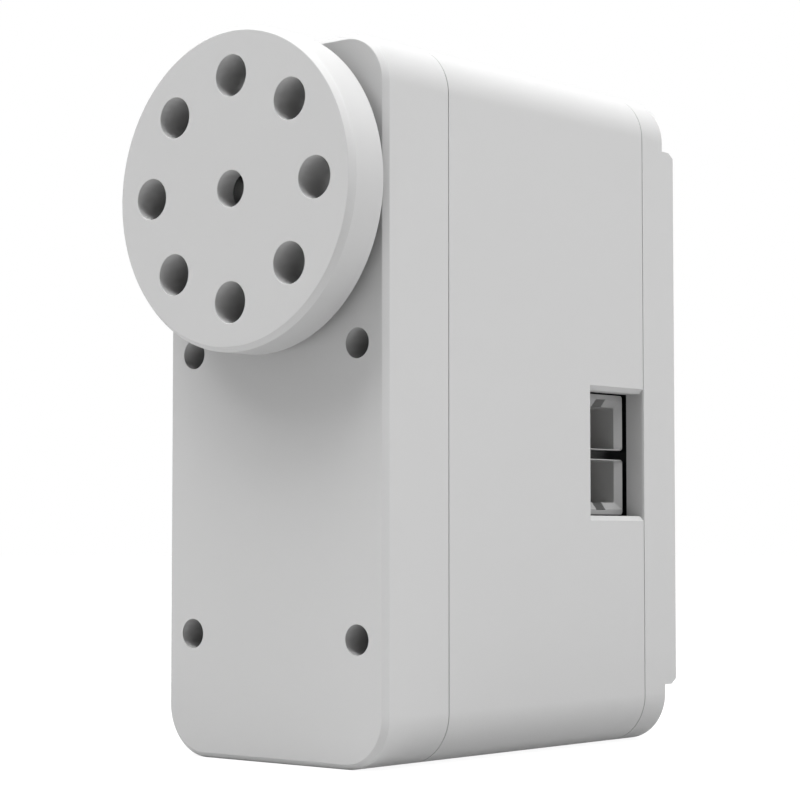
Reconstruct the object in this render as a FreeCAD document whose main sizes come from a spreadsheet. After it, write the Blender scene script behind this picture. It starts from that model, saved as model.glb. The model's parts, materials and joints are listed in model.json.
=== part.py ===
import FreeCAD, Part

import math
import os

import Sketcher

# A serial bus servo: a three-shell case, a round horn on a five-stage spur gear train, a small
# direct-current motor, a rotary position sensor, a control board and two wire-to-board sockets.
# The origin is on the output axis at the horn's front face. The horn faces -Y and the body hangs
# below the axis along Z, so every depth below is measured along +Y from the horn's front face.

# Driving sizes: alias, value in millimetres or a count, and what it measures

SIZES = [
    ("body_width", 20.0, "case, side to side"),
    ("body_height", 47.8, "case, bottom to top"),
    ("corner_radius", 3.5, "long edges of the case, seen from the front"),
    ("axis_below_top", 10.0, "output axis below the case's top"),
    ("wall", 1.55, "side walls of the case"),
    ("front_wall", 1.7, "front wall of the case"),
    ("rear_wall", 1.5, "rear wall of the case"),
    ("front_case_depth", 6.3, "front case, front face to seam"),
    ("middle_case_depth", 22.45, "middle case, seam to seam"),
    ("rear_rim_depth", 2.6, "rear cover, seam to the screw seats"),
    ("plateau_rise", 1.6, "rear plateau over the screw seats"),
    ("front_chamfer", 0.35, "front edge of the case"),
    ("seam_chamfer", 0.1, "both edges of each seam"),
    ("plateau_chamfer", 0.3, "edge of the rear plateau"),
    ("notch_width", 4.7, "screw notch in the rear plateau, along X"),
    ("notch_height", 4.1, "screw notch in the rear plateau, along Z"),
    ("notch_radius", 1.9, "inner corner of a screw notch"),
    ("case_screw_radius", 0.97, "case screw shank"),
    ("case_screw_length", 28.0, "case screw shank under its head"),
    ("case_screw_head_radius", 1.6, "case screw head"),
    ("case_screw_head_height", 1.3, "case screw head"),
    ("case_boss_radius", 1.9, "bosses round the case screws"),
    ("case_boss_cover", 0.05, "those bosses to the chamfer of a seam, at a rounded edge of the case"),
    ("screw_clearance", 0.15, "round a screw in a through hole"),
    ("thread_clearance", 0.03, "round a screw in its own thread"),
    ("mount_spacing_across", 15.05, "front mounting holes, along X"),
    ("mount_below_axis", 10.3, "upper mounting holes below the output axis"),
    ("mount_above_base", 8.37, "lower mounting holes above the case's bottom"),
    ("mount_hole_radius", 1.055, "front mounting holes"),
    ("mount_hole_depth", 4.0, "front mounting holes"),
    ("mount_boss_radius", 2.0, "bosses behind the mounting holes"),
    ("mount_boss_depth", 4.8, "mounting bosses, from the front face"),
    ("horn_radius", 10.75, "horn"),
    ("horn_thickness", 3.0, "horn disc"),
    ("horn_gap", 1.1, "horn disc to the case's front face"),
    ("horn_chamfer_across", 0.3, "front edge of the horn, in radius"),
    ("horn_chamfer_deep", 0.42, "front edge of the horn, along the axis"),
    ("horn_back_chamfer", 0.15, "back edge of the horn"),
    ("horn_hole_circle", 15.0, "pitch circle of the horn's holes, diameter"),
    ("horn_hole_count", 8, "holes in the horn"),
    ("horn_hole_radius", 1.39, "holes in the horn"),
    ("horn_centre_radius", 1.225, "hole in the middle of the horn and in the shaft's nose"),
    ("horn_web", 1.5, "horn in front of the shaft's nose"),
    ("horn_hub_radius", 3.85, "hub behind the horn disc"),
    ("nose_hole_depth", 5.0, "threaded hole in the shaft's nose"),
    ("spline_radius", 2.9, "tips of the shaft's spline"),
    ("spline_depth", 0.22, "teeth of the spline"),
    ("spline_teeth", 25, "teeth of the spline"),
    ("fit_clearance", 0.02, "between pieces that are pressed or glued together"),
    ("running_clearance", 0.03, "round a turning shaft or pin, in radius"),
    ("seat_gap", 0.05, "between pieces that sit end to end"),
    ("bearing_lip", 0.5, "front lip that holds the bearing"),
    ("lip_clearance", 0.5, "lip round the horn's hub, in radius"),
    ("bearing_bore", 3.0, "front bearing, inner radius"),
    ("bearing_radius", 5.0, "front bearing, outer radius"),
    ("bearing_width", 2.5, "front bearing"),
    ("ring_thickness", 0.75, "each ring of the front bearing"),
    ("ball_radius", 0.6, "balls of the front bearing"),
    ("ball_count", 7, "balls of the front bearing"),
    ("bearing_collar", 1.2, "wall of the collar round the bearing"),
    ("gear_gap", 0.2, "between neighbouring gear levels"),
    ("tooth_play", 0.05, "backlash of each gear pair"),
    ("pinion_shift", 0.45, "profile shift of each pinion, in modules, taken off its wheel"),
    ("first_fineness", 0.75, "module of the first pair, as a share of the second's and third's"),
    ("first_pinion_teeth", 10, "motor pinion"),
    ("first_wheel_teeth", 52, "first wheel"),
    ("second_pinion_teeth", 10, "pinion of the first gear"),
    ("second_wheel_teeth", 36, "second wheel"),
    ("third_pinion_teeth", 10, "pinion of the second gear"),
    ("third_wheel_teeth", 35, "third wheel"),
    ("fourth_pinion_teeth", 10, "pinion of the third gear"),
    ("fourth_wheel_teeth", 26, "fourth wheel"),
    ("fifth_pinion_teeth", 9, "pinion of the fourth gear"),
    ("fifth_wheel_teeth", 21, "output gear"),
    ("first_width", 1.1, "teeth of the first pair"),
    ("second_width", 1.3, "teeth of the second pair"),
    ("third_width", 1.3, "teeth of the third pair"),
    ("fourth_width", 1.3, "teeth of the fourth pair"),
    ("fifth_width", 2.2, "teeth of the output pair"),
    ("pin_radius", 0.75, "gear pins"),
    ("pin_boss_radius", 1.6, "front bosses round the gear pins"),
    ("pin_collar_radius", 1.1, "collar on the bulkhead round the upper gear pin"),
    ("pin_seat_depth", 2.5, "gear pin in its front boss"),
    ("output_seat_radius", 2.6, "shaft inside the output gear"),
    ("shoulder_radius", 3.6, "shaft's shoulder behind the bearing"),
    ("tail_radius", 1.1, "shaft behind the output gear"),
    ("tail_flat", 0.8, "flat at the end of the shaft, from its axis"),
    ("spacer_wall", 0.27, "sleeve round the shaft behind the third gear"),
    ("bulkhead_gap", 0.3, "first wheel to the bulkhead"),
    ("bulkhead", 1.1, "bulkhead between the gears and the motor"),
    ("bush_radius", 2.4, "bush of the shaft's tail"),
    ("bush_flange_radius", 3.0, "flange of that bush"),
    ("bush_flange", 0.2, "flange of that bush, thickness"),
    ("motor_base_gap", 2.75, "motor can over the case's inner bottom"),
    ("motor_socket_gap", 0.265, "motor can under the lower socket"),
    ("can_wall", 0.5, "motor can"),
    ("motor_nose_radius", 2.0, "locating nose of the motor can"),
    ("motor_nose_length", 0.8, "locating nose of the motor can"),
    ("motor_shaft_radius", 0.5, "motor shaft"),
    ("magnet_thickness", 1.0, "motor magnets"),
    ("magnet_angle", 120.0, "each motor magnet, in degrees"),
    ("air_gap", 0.2, "armature to the magnets"),
    ("armature_front", 2.6, "armature behind the can's front"),
    ("armature_teeth", 3, "teeth of the armature"),
    ("slot_opening", 0.8, "mouth of an armature slot"),
    ("stem_width", 1.8, "stems of the armature's teeth"),
    ("tooth_tip", 0.7, "tips of the armature's teeth, in radius"),
    ("armature_hub", 1.4, "core of the armature"),
    ("coil_bulge", 1.2, "windings beyond each end of the stack"),
    ("commutator_radius", 1.3, "commutator"),
    ("commutator_length", 1.9, "commutator"),
    ("commutator_gap", 0.7, "commutator to the end cap's spigot"),
    ("end_cap_length", 0.9, "motor end cap behind the can"),
    ("motor_board_gap", 1.5, "motor end cap to the main board"),
    ("end_cap_spigot", 1.0, "motor end cap inside the can"),
    ("end_cap_inset", 0.3, "motor end cap inside the can's outline"),
    ("brush_width", 0.8, "motor brushes"),
    ("terminal_width", 1.6, "motor terminals, along Z"),
    ("terminal_thickness", 0.3, "motor terminals, along X"),
    ("terminal_inset", 1.3, "motor terminals from the inside of the can"),
    ("small_screw_radius", 0.77, "small screws, shank"),
    ("small_head_radius", 1.3, "small screws, head"),
    ("small_head_height", 0.8, "small screws, head"),
    ("screw_crown", 0.6, "flat of a screw's head, as a share of its radius"),
    ("motor_screw_length", 1.6, "motor screws under their heads"),
    ("board_screw_length", 2.0, "board screws under their heads"),
    ("board_setback", 0.65, "main board behind the rear seam"),
    ("board_thickness", 1.0, "main board"),
    ("board_clearance", 0.3, "main board to the side walls"),
    ("board_screw_inset", 1.75, "board screws from the main board's sides"),
    ("board_screw_below_edge", 1.8, "board screws from the main board's ends"),
    ("board_boss_radius", 1.4, "bosses that carry the boards"),
    ("opening_height", 8.95, "side opening for the plugs"),
    ("opening_depth", 6.55, "side opening, from the rear seam forward"),
    ("opening_chamfer", 0.35, "outer edges of the side opening"),
    ("socket_below_middle", 2.95, "middle of the two sockets below the middle of the case"),
    ("socket_gap", 0.67, "between the two sockets"),
    ("socket_width", 5.6, "each socket, along the case's depth"),
    ("socket_height", 4.05, "each socket"),
    ("socket_length", 5.4, "each socket, into the case"),
    ("socket_recess", 1.7, "socket mouth behind the case's side"),
    ("socket_rear_gap", 0.3, "sockets in front of the rear seam"),
    ("socket_wall", 0.5, "socket walls"),
    ("socket_floor", 1.0, "back wall of a socket"),
    ("socket_corner", 0.25, "outer corners of a socket"),
    ("latch_width", 1.5, "latch notch in a socket's outer lip"),
    ("latch_depth", 1.0, "latch notch in a socket's outer lip, inwards"),
    ("latch_behind", 2.05, "latch notch from the socket's front side"),
    ("contact_count", 3, "contacts of each socket"),
    ("contact_pitch", 1.25, "contacts of each socket"),
    ("contact_size", 0.4, "contacts, square"),
    ("contact_stand", 1.9, "contacts from the socket's back wall"),
    ("riser_thickness", 0.6, "small board between the sockets"),
    ("riser_recess", 0.9, "small board behind the sockets' mouths"),
    ("riser_front_margin", 1.6, "small board in front of the sockets"),
    ("riser_side_margin", 1.2, "small board beside the sockets"),
    ("sensor_gap", 0.4, "bulkhead to the position sensor"),
    ("sensor_width", 11.0, "position sensor, along X"),
    ("sensor_height", 12.0, "position sensor, along Z"),
    ("sensor_thickness", 2.1, "position sensor"),
    ("sensor_corner", 0.5, "corners of the position sensor"),
    ("sensor_rotor_radius", 3.0, "turning ring of the position sensor"),
    ("sensor_board_thickness", 0.8, "board that carries the position sensor"),
    ("sensor_board_above", 6.6, "that board above the output axis"),
    ("sensor_board_below", 9.2, "that board below the output axis"),
    ("sensor_screw_inset", 1.35, "its screws from the board's sides"),
    ("sensor_screw_below", 7.6, "its screws below the output axis"),
    ("sensor_post_radius", 1.35, "posts that carry that board"),
    ("sensor_screw_bite", 2.0, "its screws in their posts"),
    ("screw_tip_gap", 0.2, "blind holes deeper than their screws"),
    ("shaft_end_margin", 0.4, "shaft's end behind the position sensor"),
    ("tail_hole_radius", 1.6, "hole in that board round the shaft's end"),
    ("lead_radius", 0.35, "wires between the two boards"),
    ("lead_pitch", 1.5, "wires between the two boards"),
    ("lead_count", 3, "wires between the two boards"),
    ("lead_above", 4.0, "those wires above the output axis"),
    ("capacitor_radius", 3.15, "capacitor"),
    ("capacitor_length", 7.6, "capacitor"),
    ("capacitor_across", 4.2, "capacitor's axis, along -X"),
    ("capacitor_below", 6.6, "capacitor's axis below the output axis"),
    ("capacitor_edge", 0.4, "rounded edge of the capacitor"),
    ("chip_size", 5.0, "controller chip, square"),
    ("chip_thickness", 0.9, "both chips"),
    ("controller_across", 4.6, "controller chip's middle, along -X"),
    ("controller_below", 16.6, "controller chip's middle below the output axis"),
    ("driver_width", 5.0, "driver chip, along X"),
    ("driver_height", 4.0, "driver chip, along Z"),
    ("driver_across", 3.6, "driver chip's middle, along X"),
    ("driver_below", 6.0, "driver chip's middle below the output axis"),
]

PRESSURE_ANGLE = math.radians(20)
ADDENDUM = 1.0  # tooth beyond the pitch circle, in modules
DEDENDUM = 1.25  # tooth inside the pitch circle, in modules
CLOSE = 1e-4  # points nearer than this are one point

doc = FreeCAD.newDocument("serial_bus_servo")
sheet = doc.addObject("Spreadsheet::Sheet", "sizes")
for row, (alias, value, note) in enumerate(SIZES, 1):
    sheet.set(f"A{row}", alias)
    sheet.set(f"B{row}", str(value))
    sheet.set(f"C{row}", note)
    sheet.setAlias(f"B{row}", alias)
doc.recompute()

# Planes of the case, as depths behind the horn's face or as heights over the output axis

FRONT_FACE = "(sizes.horn_thickness + sizes.horn_gap)"
SEAM_FRONT = f"({FRONT_FACE} + sizes.front_case_depth)"
SEAM_REAR = f"({SEAM_FRONT} + sizes.middle_case_depth)"
SCREW_SEAT = f"({SEAM_REAR} + sizes.rear_rim_depth)"
REAR_FACE = f"({SCREW_SEAT} + sizes.plateau_rise)"
SIDE = "(sizes.body_width / 2)"
TOP = "sizes.axis_below_top"
BASE = "(sizes.axis_below_top - sizes.body_height)"
MIDDLE = "(sizes.axis_below_top - sizes.body_height / 2)"
INNER_SIDE = f"({SIDE} - sizes.wall)"
INNER_TOP = f"({TOP} - sizes.wall)"
INNER_BASE = f"({BASE} + sizes.wall)"
INNER_RADIUS = "(sizes.corner_radius - sizes.wall)"
WALL_INSIDE = f"({FRONT_FACE} + sizes.front_wall)"

# The sockets, and the motor that fills the room between them and the case's bottom

SOCKET_PLANE = f"({MIDDLE} - sizes.socket_below_middle)"
SOCKET_LOW = f"({SOCKET_PLANE} + sizes.socket_gap / 2)"
SOCKET_HIGH = f"({SOCKET_LOW} + sizes.socket_height)"
MOTOR_TOP = f"(2 * {SOCKET_PLANE} - {SOCKET_HIGH} - sizes.motor_socket_gap)"
MOTOR_BASE = f"({INNER_BASE} + sizes.motor_base_gap)"
MOTOR_RADIUS = f"(({MOTOR_TOP} - {MOTOR_BASE}) / 2)"

# Axes of the gear train, as heights over the output axis, and the modules that span them

OUTPUT_AXIS = "0"
MOTOR_AXIS = f"(({MOTOR_TOP} + {MOTOR_BASE}) / 2)"
FIRST_TEETH = "(sizes.first_pinion_teeth + sizes.first_wheel_teeth)"
SECOND_TEETH = "(sizes.second_pinion_teeth + sizes.second_wheel_teeth)"
THIRD_TEETH = "(sizes.third_pinion_teeth + sizes.third_wheel_teeth)"
MODULE = f"(-2 * {MOTOR_AXIS} / (sizes.first_fineness * {FIRST_TEETH} + {SECOND_TEETH} + {THIRD_TEETH}))"
FIRST_MODULE = f"(sizes.first_fineness * {MODULE})"
OUTPUT_CENTRES = f"({MODULE} * {THIRD_TEETH} / 2)"
UPPER_AXIS = f"(-{OUTPUT_CENTRES})"
LOWER_AXIS = f"({UPPER_AXIS} - {MODULE} * {SECOND_TEETH} / 2)"
FOURTH_MODULE = f"(2 * {OUTPUT_CENTRES} / (sizes.fourth_pinion_teeth + sizes.fourth_wheel_teeth))"
FIFTH_MODULE = f"(2 * {OUTPUT_CENTRES} / (sizes.fifth_pinion_teeth + sizes.fifth_wheel_teeth))"

# Depths of the gear levels, the fifth nearest the horn and the first nearest the motor

BEARING_FRONT = f"({FRONT_FACE} + sizes.bearing_lip)"
BEARING_REAR = f"({BEARING_FRONT} + sizes.bearing_width)"
BEARING_MIDDLE = f"({BEARING_FRONT} + sizes.bearing_width / 2)"
BEARING_PITCH = "((sizes.bearing_bore + sizes.bearing_radius) / 2)"
FIFTH_LEVEL = f"({BEARING_REAR} + sizes.gear_gap)"
FOURTH_LEVEL = f"({FIFTH_LEVEL} + sizes.fifth_width + sizes.gear_gap)"
THIRD_LEVEL = f"({FOURTH_LEVEL} + sizes.fourth_width + sizes.gear_gap)"
SECOND_LEVEL = f"({THIRD_LEVEL} + sizes.third_width + sizes.gear_gap)"
FIRST_LEVEL = f"({SECOND_LEVEL} + sizes.second_width + sizes.gear_gap)"
BULKHEAD_FRONT = f"({FIRST_LEVEL} + sizes.first_width + sizes.bulkhead_gap)"
BULKHEAD_REAR = f"({BULKHEAD_FRONT} + sizes.bulkhead)"
UPPER_PIN_FRONT = f"({FRONT_FACE} + sizes.front_wall / 2)"
LOWER_PIN_FRONT = f"({SECOND_LEVEL} - sizes.gear_gap - sizes.pin_seat_depth)"

# Places of the boards, the motor, the sockets and the position sensor

BOARD_FRONT = f"({SEAM_REAR} + sizes.board_setback)"
BOARD_REAR = f"({BOARD_FRONT} + sizes.board_thickness)"
BOARD_SIDE = f"({INNER_SIDE} - sizes.board_clearance)"
BOARD_SCREW_BITE = "(sizes.board_screw_length - sizes.board_thickness + sizes.seat_gap)"
MOTOR_REAR = f"({BOARD_FRONT} - sizes.motor_board_gap - sizes.end_cap_length)"
CAN_INSIDE = f"({MOTOR_RADIUS} - sizes.can_wall)"
MAGNET_INSIDE = f"({CAN_INSIDE} - sizes.magnet_thickness)"
ARMATURE_RADIUS = f"({MAGNET_INSIDE} - sizes.air_gap)"
ARMATURE_FRONT = f"({BULKHEAD_REAR} + sizes.armature_front)"
COMMUTATOR_REAR = f"({MOTOR_REAR} - sizes.end_cap_spigot - sizes.commutator_gap)"
COMMUTATOR_FRONT = f"({COMMUTATOR_REAR} - sizes.commutator_length)"
ARMATURE_LENGTH = f"({COMMUTATOR_FRONT} - sizes.coil_bulge - {ARMATURE_FRONT})"
TERMINAL_X = f"({CAN_INSIDE} - sizes.terminal_inset)"
SOCKET_MOUTH = f"({SIDE} - sizes.socket_recess)"
SOCKET_BACK = f"({SOCKET_MOUTH} - sizes.socket_length)"
SOCKET_REAR = f"({SEAM_REAR} - sizes.socket_rear_gap)"
SOCKET_FRONT = f"({SOCKET_REAR} - sizes.socket_width)"
SENSOR_FRONT = f"({BULKHEAD_REAR} + sizes.sensor_gap)"
SENSOR_REAR = f"({SENSOR_FRONT} + sizes.sensor_thickness)"
SENSOR_BOARD_REAR = f"({SENSOR_REAR} + sizes.sensor_board_thickness)"

# Screw and hole places, as lists of x and z. A case screw stands as near to its rounded edge as
# its boss allows.

BOSS_REACH = "(sizes.case_boss_radius + sizes.case_boss_cover + sizes.seam_chamfer)"
CASE_SCREW_INSET = f"max(sizes.corner_radius - (sizes.corner_radius - {BOSS_REACH}) / sqrt(2); {BOSS_REACH})"
CASE_SCREW_X = f"({SIDE} - {CASE_SCREW_INSET})"
CASE_SCREW_TOP = f"({TOP} - {CASE_SCREW_INSET})"
CASE_SCREW_BASE = f"({BASE} + {CASE_SCREW_INSET})"
MOUNT_X = "(sizes.mount_spacing_across / 2)"
MOUNT_UPPER = "(-sizes.mount_below_axis)"
MOUNT_LOWER = f"({BASE} + sizes.mount_above_base)"
BOSS_ROOM = "(sizes.case_boss_radius + sizes.board_clearance)"
BOARD_TOP = f"({CASE_SCREW_TOP} - {BOSS_ROOM})"
BOARD_BASE = f"({CASE_SCREW_BASE} + {BOSS_ROOM})"
BOARD_SCREW_X = f"({BOARD_SIDE} - sizes.board_screw_inset)"
BOARD_SCREW_TOP = f"({BOARD_TOP} - sizes.board_screw_below_edge)"
BOARD_SCREW_BASE = f"({BOARD_BASE} + sizes.board_screw_below_edge)"
SENSOR_SCREW_X = f"({BOARD_SIDE} - sizes.sensor_screw_inset)"
SENSOR_SCREW_Z = "(-sizes.sensor_screw_below)"
MOTOR_SCREW_X = f"((sizes.motor_nose_radius + {MOTOR_RADIUS}) / 2)"


def corners(x, low, high):
    """The four places at plus and minus x, at two heights."""
    return [(x, high), (f"(-{x})", high), (f"(-{x})", low), (x, low)]


CASE_SCREWS = corners(CASE_SCREW_X, CASE_SCREW_BASE, CASE_SCREW_TOP)
MOUNT_HOLES = corners(MOUNT_X, MOUNT_LOWER, MOUNT_UPPER)
BOARD_SCREWS = corners(BOARD_SCREW_X, BOARD_SCREW_BASE, BOARD_SCREW_TOP)
MOTOR_SCREWS = [(MOTOR_SCREW_X, MOTOR_AXIS), (f"(-{MOTOR_SCREW_X})", MOTOR_AXIS)]
SENSOR_SCREWS = [(SENSOR_SCREW_X, SENSOR_SCREW_Z), (f"(-{SENSOR_SCREW_X})", SENSOR_SCREW_Z)]


# Sketches, whose every dimension is an expression on the sheet


def number(expression):
    """The present value of an expression on the sheet."""
    return float(sheet.evalExpression(expression))


def new_sketch(body, name, plane, offset):
    """A sketch on one of the body's own origin planes, moved by three expressions in its own axes."""
    sketch = body.newObject("Sketcher::SketchObject", name)
    support = next(f for f in body.Origin.OriginFeatures if f.Role == plane)
    sketch.AttachmentSupport = [(support, "")]
    sketch.MapMode = "FlatFace"
    for axis, expression in zip("xyz", offset):
        sketch.setExpression(f"AttachmentOffset.Base.{axis}", expression)
    return sketch


def hold(sketch, kind, places, expression):
    """A dimension of the sketch, bound to an expression."""
    index = sketch.addConstraint(Sketcher.Constraint(kind, *places, number(expression)))
    sketch.setExpression(f"Constraints[{index}]", expression)


def polygon(sketch, points):
    """A closed outline of straight edges through points, each a pair of expressions."""
    first = sketch.GeometryCount
    spots = [FreeCAD.Vector(number(x), number(y), 0) for x, y in points]
    for start, end in zip(spots, spots[1:] + spots[:1]):
        sketch.addGeometry(Part.LineSegment(start, end))
    for index, (x, y) in enumerate(points):
        edge = first + index
        before = first + (index - 1) % len(points)
        sketch.addConstraint(Sketcher.Constraint("Coincident", before, 2, edge, 1))
        hold(sketch, "DistanceX", (-1, 1, edge, 1), x)
        hold(sketch, "DistanceY", (-1, 1, edge, 1), y)


def rectangle(sketch, left, right, low, high):
    """A closed outline with square corners."""
    polygon(sketch, [(left, low), (right, low), (right, high), (left, high)])


def rounded(sketch, left, right, low, high, radius):
    """A closed outline whose four corners are arcs of one radius."""
    first = sketch.GeometryCount
    xs = [number(left), number(right)]
    zs = [number(low), number(high)]
    bend = number(radius)
    centres = [(xs[1] - bend, zs[0] + bend), (xs[1] - bend, zs[1] - bend)]
    centres += [(xs[0] + bend, zs[1] - bend), (xs[0] + bend, zs[0] + bend)]
    arcs = []
    for turn, (x, z) in enumerate(centres):
        circle = Part.Circle(FreeCAD.Vector(x, z, 0), FreeCAD.Vector(0, 0, 1), bend)
        arcs.append(Part.ArcOfCircle(circle, (turn - 1) * math.pi / 2, turn * math.pi / 2))
    for arc, following in zip(arcs, arcs[1:] + arcs[:1]):
        sketch.addGeometry(arc)
        sketch.addGeometry(Part.LineSegment(arc.EndPoint, following.StartPoint))
    for turn in range(4):
        arc = first + 2 * turn
        line = arc + 1
        following = first + (2 * turn + 2) % 8
        sketch.addConstraint(Sketcher.Constraint("Tangent", arc, 2, line, 1))
        sketch.addConstraint(Sketcher.Constraint("Tangent", line, 2, following, 1))
        hold(sketch, "Radius", (arc,), radius)
    for turn, level in ((0, "Vertical"), (1, "Horizontal"), (2, "Vertical"), (3, "Horizontal")):
        sketch.addConstraint(Sketcher.Constraint(level, first + 2 * turn + 1))
    hold(sketch, "DistanceX", (-1, 1, first + 1, 1), right)
    hold(sketch, "DistanceY", (-1, 1, first + 3, 1), high)
    hold(sketch, "DistanceX", (-1, 1, first + 5, 1), left)
    hold(sketch, "DistanceY", (-1, 1, first + 7, 1), low)


def circles(sketch, places, radius):
    """Circles of one radius at places, each a pair of expressions."""
    for x, y in places:
        spot = FreeCAD.Vector(number(x), number(y), 0)
        index = sketch.addGeometry(Part.Circle(spot, FreeCAD.Vector(0, 0, 1), number(radius)))
        hold(sketch, "DistanceX", (-1, 1, index, 3), x)
        hold(sketch, "DistanceY", (-1, 1, index, 3), y)
        hold(sketch, "Radius", (index,), radius)


# Bodies and their features

NODES = []


def node(item, label):
    """Names an object as a sub-part of the servo."""
    item.Label = label
    NODES.append(item)
    return item


def new_body(label):
    """An empty body that becomes a sub-part."""
    body = doc.addObject("PartDesign::Body", f"{label}_body")
    return node(body, label)


def feature(body, kind, name, plane, offset, draw, length):
    """A pad or pocket of a sketch that draw fills in. On the XZ plane both run towards +Y."""
    sketch = new_sketch(body, f"{name}_sketch", plane, offset)
    draw(sketch)
    solid = body.newObject(f"PartDesign::{kind}", name)
    solid.Profile = sketch
    solid.setExpression("Length", length)
    solid.Reversed = kind == "Pad" and plane == "XZ_Plane"
    return solid


def pad(body, name, start, length, draw):
    """Material from depth start, length towards the rear."""
    return feature(body, "Pad", name, "XZ_Plane", ("0", "0", f"-{start}"), draw, length)


def pocket(body, name, start, length, draw):
    """A cut from depth start, length towards the rear."""
    return feature(body, "Pocket", name, "XZ_Plane", ("0", "0", f"-{start}"), draw, length)


def edges_where(shape, test):
    """The names of the edges whose every vertex passes a test."""
    return [f"Edge{i}" for i, e in enumerate(shape.Edges, 1) if all(test(v.Point) for v in e.Vertexes)]


def at_depth(depth):
    """A test for points in the plane at a depth."""
    wanted = number(depth)
    return lambda point: abs(point.y - wanted) < CLOSE


def chamfer(body, name, base, test, size):
    """A chamfer on the edges of the last feature that pass a test."""
    doc.recompute()
    edge = body.newObject("PartDesign::Chamfer", name)
    edge.Base = (base, edges_where(base.Shape, test))
    edge.setExpression("Size", size)
    return edge


def revolve(body, name, kind, axis, draw):
    """A turned feature about the line along Y at axis, a pair of expressions for x and z.
    Its sketch has the depth across and the radius up."""
    x, z = axis
    sketch = new_sketch(body, f"{name}_sketch", "YZ_Plane", ("0", z, x))
    draw(sketch)
    turned = body.newObject(f"PartDesign::{kind}", name)
    turned.Profile = sketch
    turned.ReferenceAxis = (sketch, ["H_Axis"])
    turned.Angle = 360
    return turned


def turned_body(label, axis, points):
    """A sub-part turned from one closed outline of depth and radius."""
    body = new_body(label)
    revolve(body, f"{label}_turning", "Revolution", axis, lambda s: polygon(s, points))
    return body


def ring_points(start, end, inner, outer):
    """The outline of a plain ring or, with inner at zero, of a disc."""
    return [(start, inner), (end, inner), (end, outer), (start, outer)]


def mirrored(source, name, normal, height="0"):
    """The mirror image of an object in a plane across X or Z."""
    image = doc.addObject("Part::Mirroring", name)
    image.Source = source
    image.Normal = normal
    image.setExpression("Base.z", height)
    return image


def together(name, members):
    """A compound of separate solids."""
    group = doc.addObject("Part::Compound", name)
    group.Links = members
    return group


ACROSS = FreeCAD.Vector(1, 0, 0)
DEEPER = FreeCAD.Vector(0, 1, 0)
UPRIGHT = FreeCAD.Vector(0, 0, 1)
TOWARDS_REAR = FreeCAD.Rotation(ACROSS, -90)


def rod(name, radius, length, x, y, z):
    """A cylinder along Y from depth y."""
    cylinder = doc.addObject("Part::Cylinder", name)
    cylinder.setExpression("Radius", radius)
    cylinder.setExpression("Height", length)
    cylinder.Placement = FreeCAD.Placement(FreeCAD.Vector(), TOWARDS_REAR)
    for axis, expression in zip("xyz", (x, y, z)):
        cylinder.setExpression(f"Placement.Base.{axis}", expression)
    return cylinder


def box(name, spans):
    """A block between pairs of expressions along X, Y and Z."""
    block = doc.addObject("Part::Box", name)
    for side, axis, (low, high) in zip(("Length", "Width", "Height"), "xyz", spans):
        block.setExpression(side, f"{high} - {low}")
        block.setExpression(f"Placement.Base.{axis}", low)
    return block


def about(middle, size):
    """The pair of expressions half a size either side of a middle."""
    return (f"({middle} - {size} / 2)", f"({middle} + {size} / 2)")


# Case


def outer_outline(sketch):
    """The case seen from the front."""
    rounded(sketch, f"(-{SIDE})", SIDE, BASE, TOP, "sizes.corner_radius")


def inner_outline(sketch):
    """The hollow of the case seen from the front."""
    rounded(sketch, f"(-{INNER_SIDE})", INNER_SIDE, INNER_BASE, INNER_TOP, INNER_RADIUS)


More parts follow.
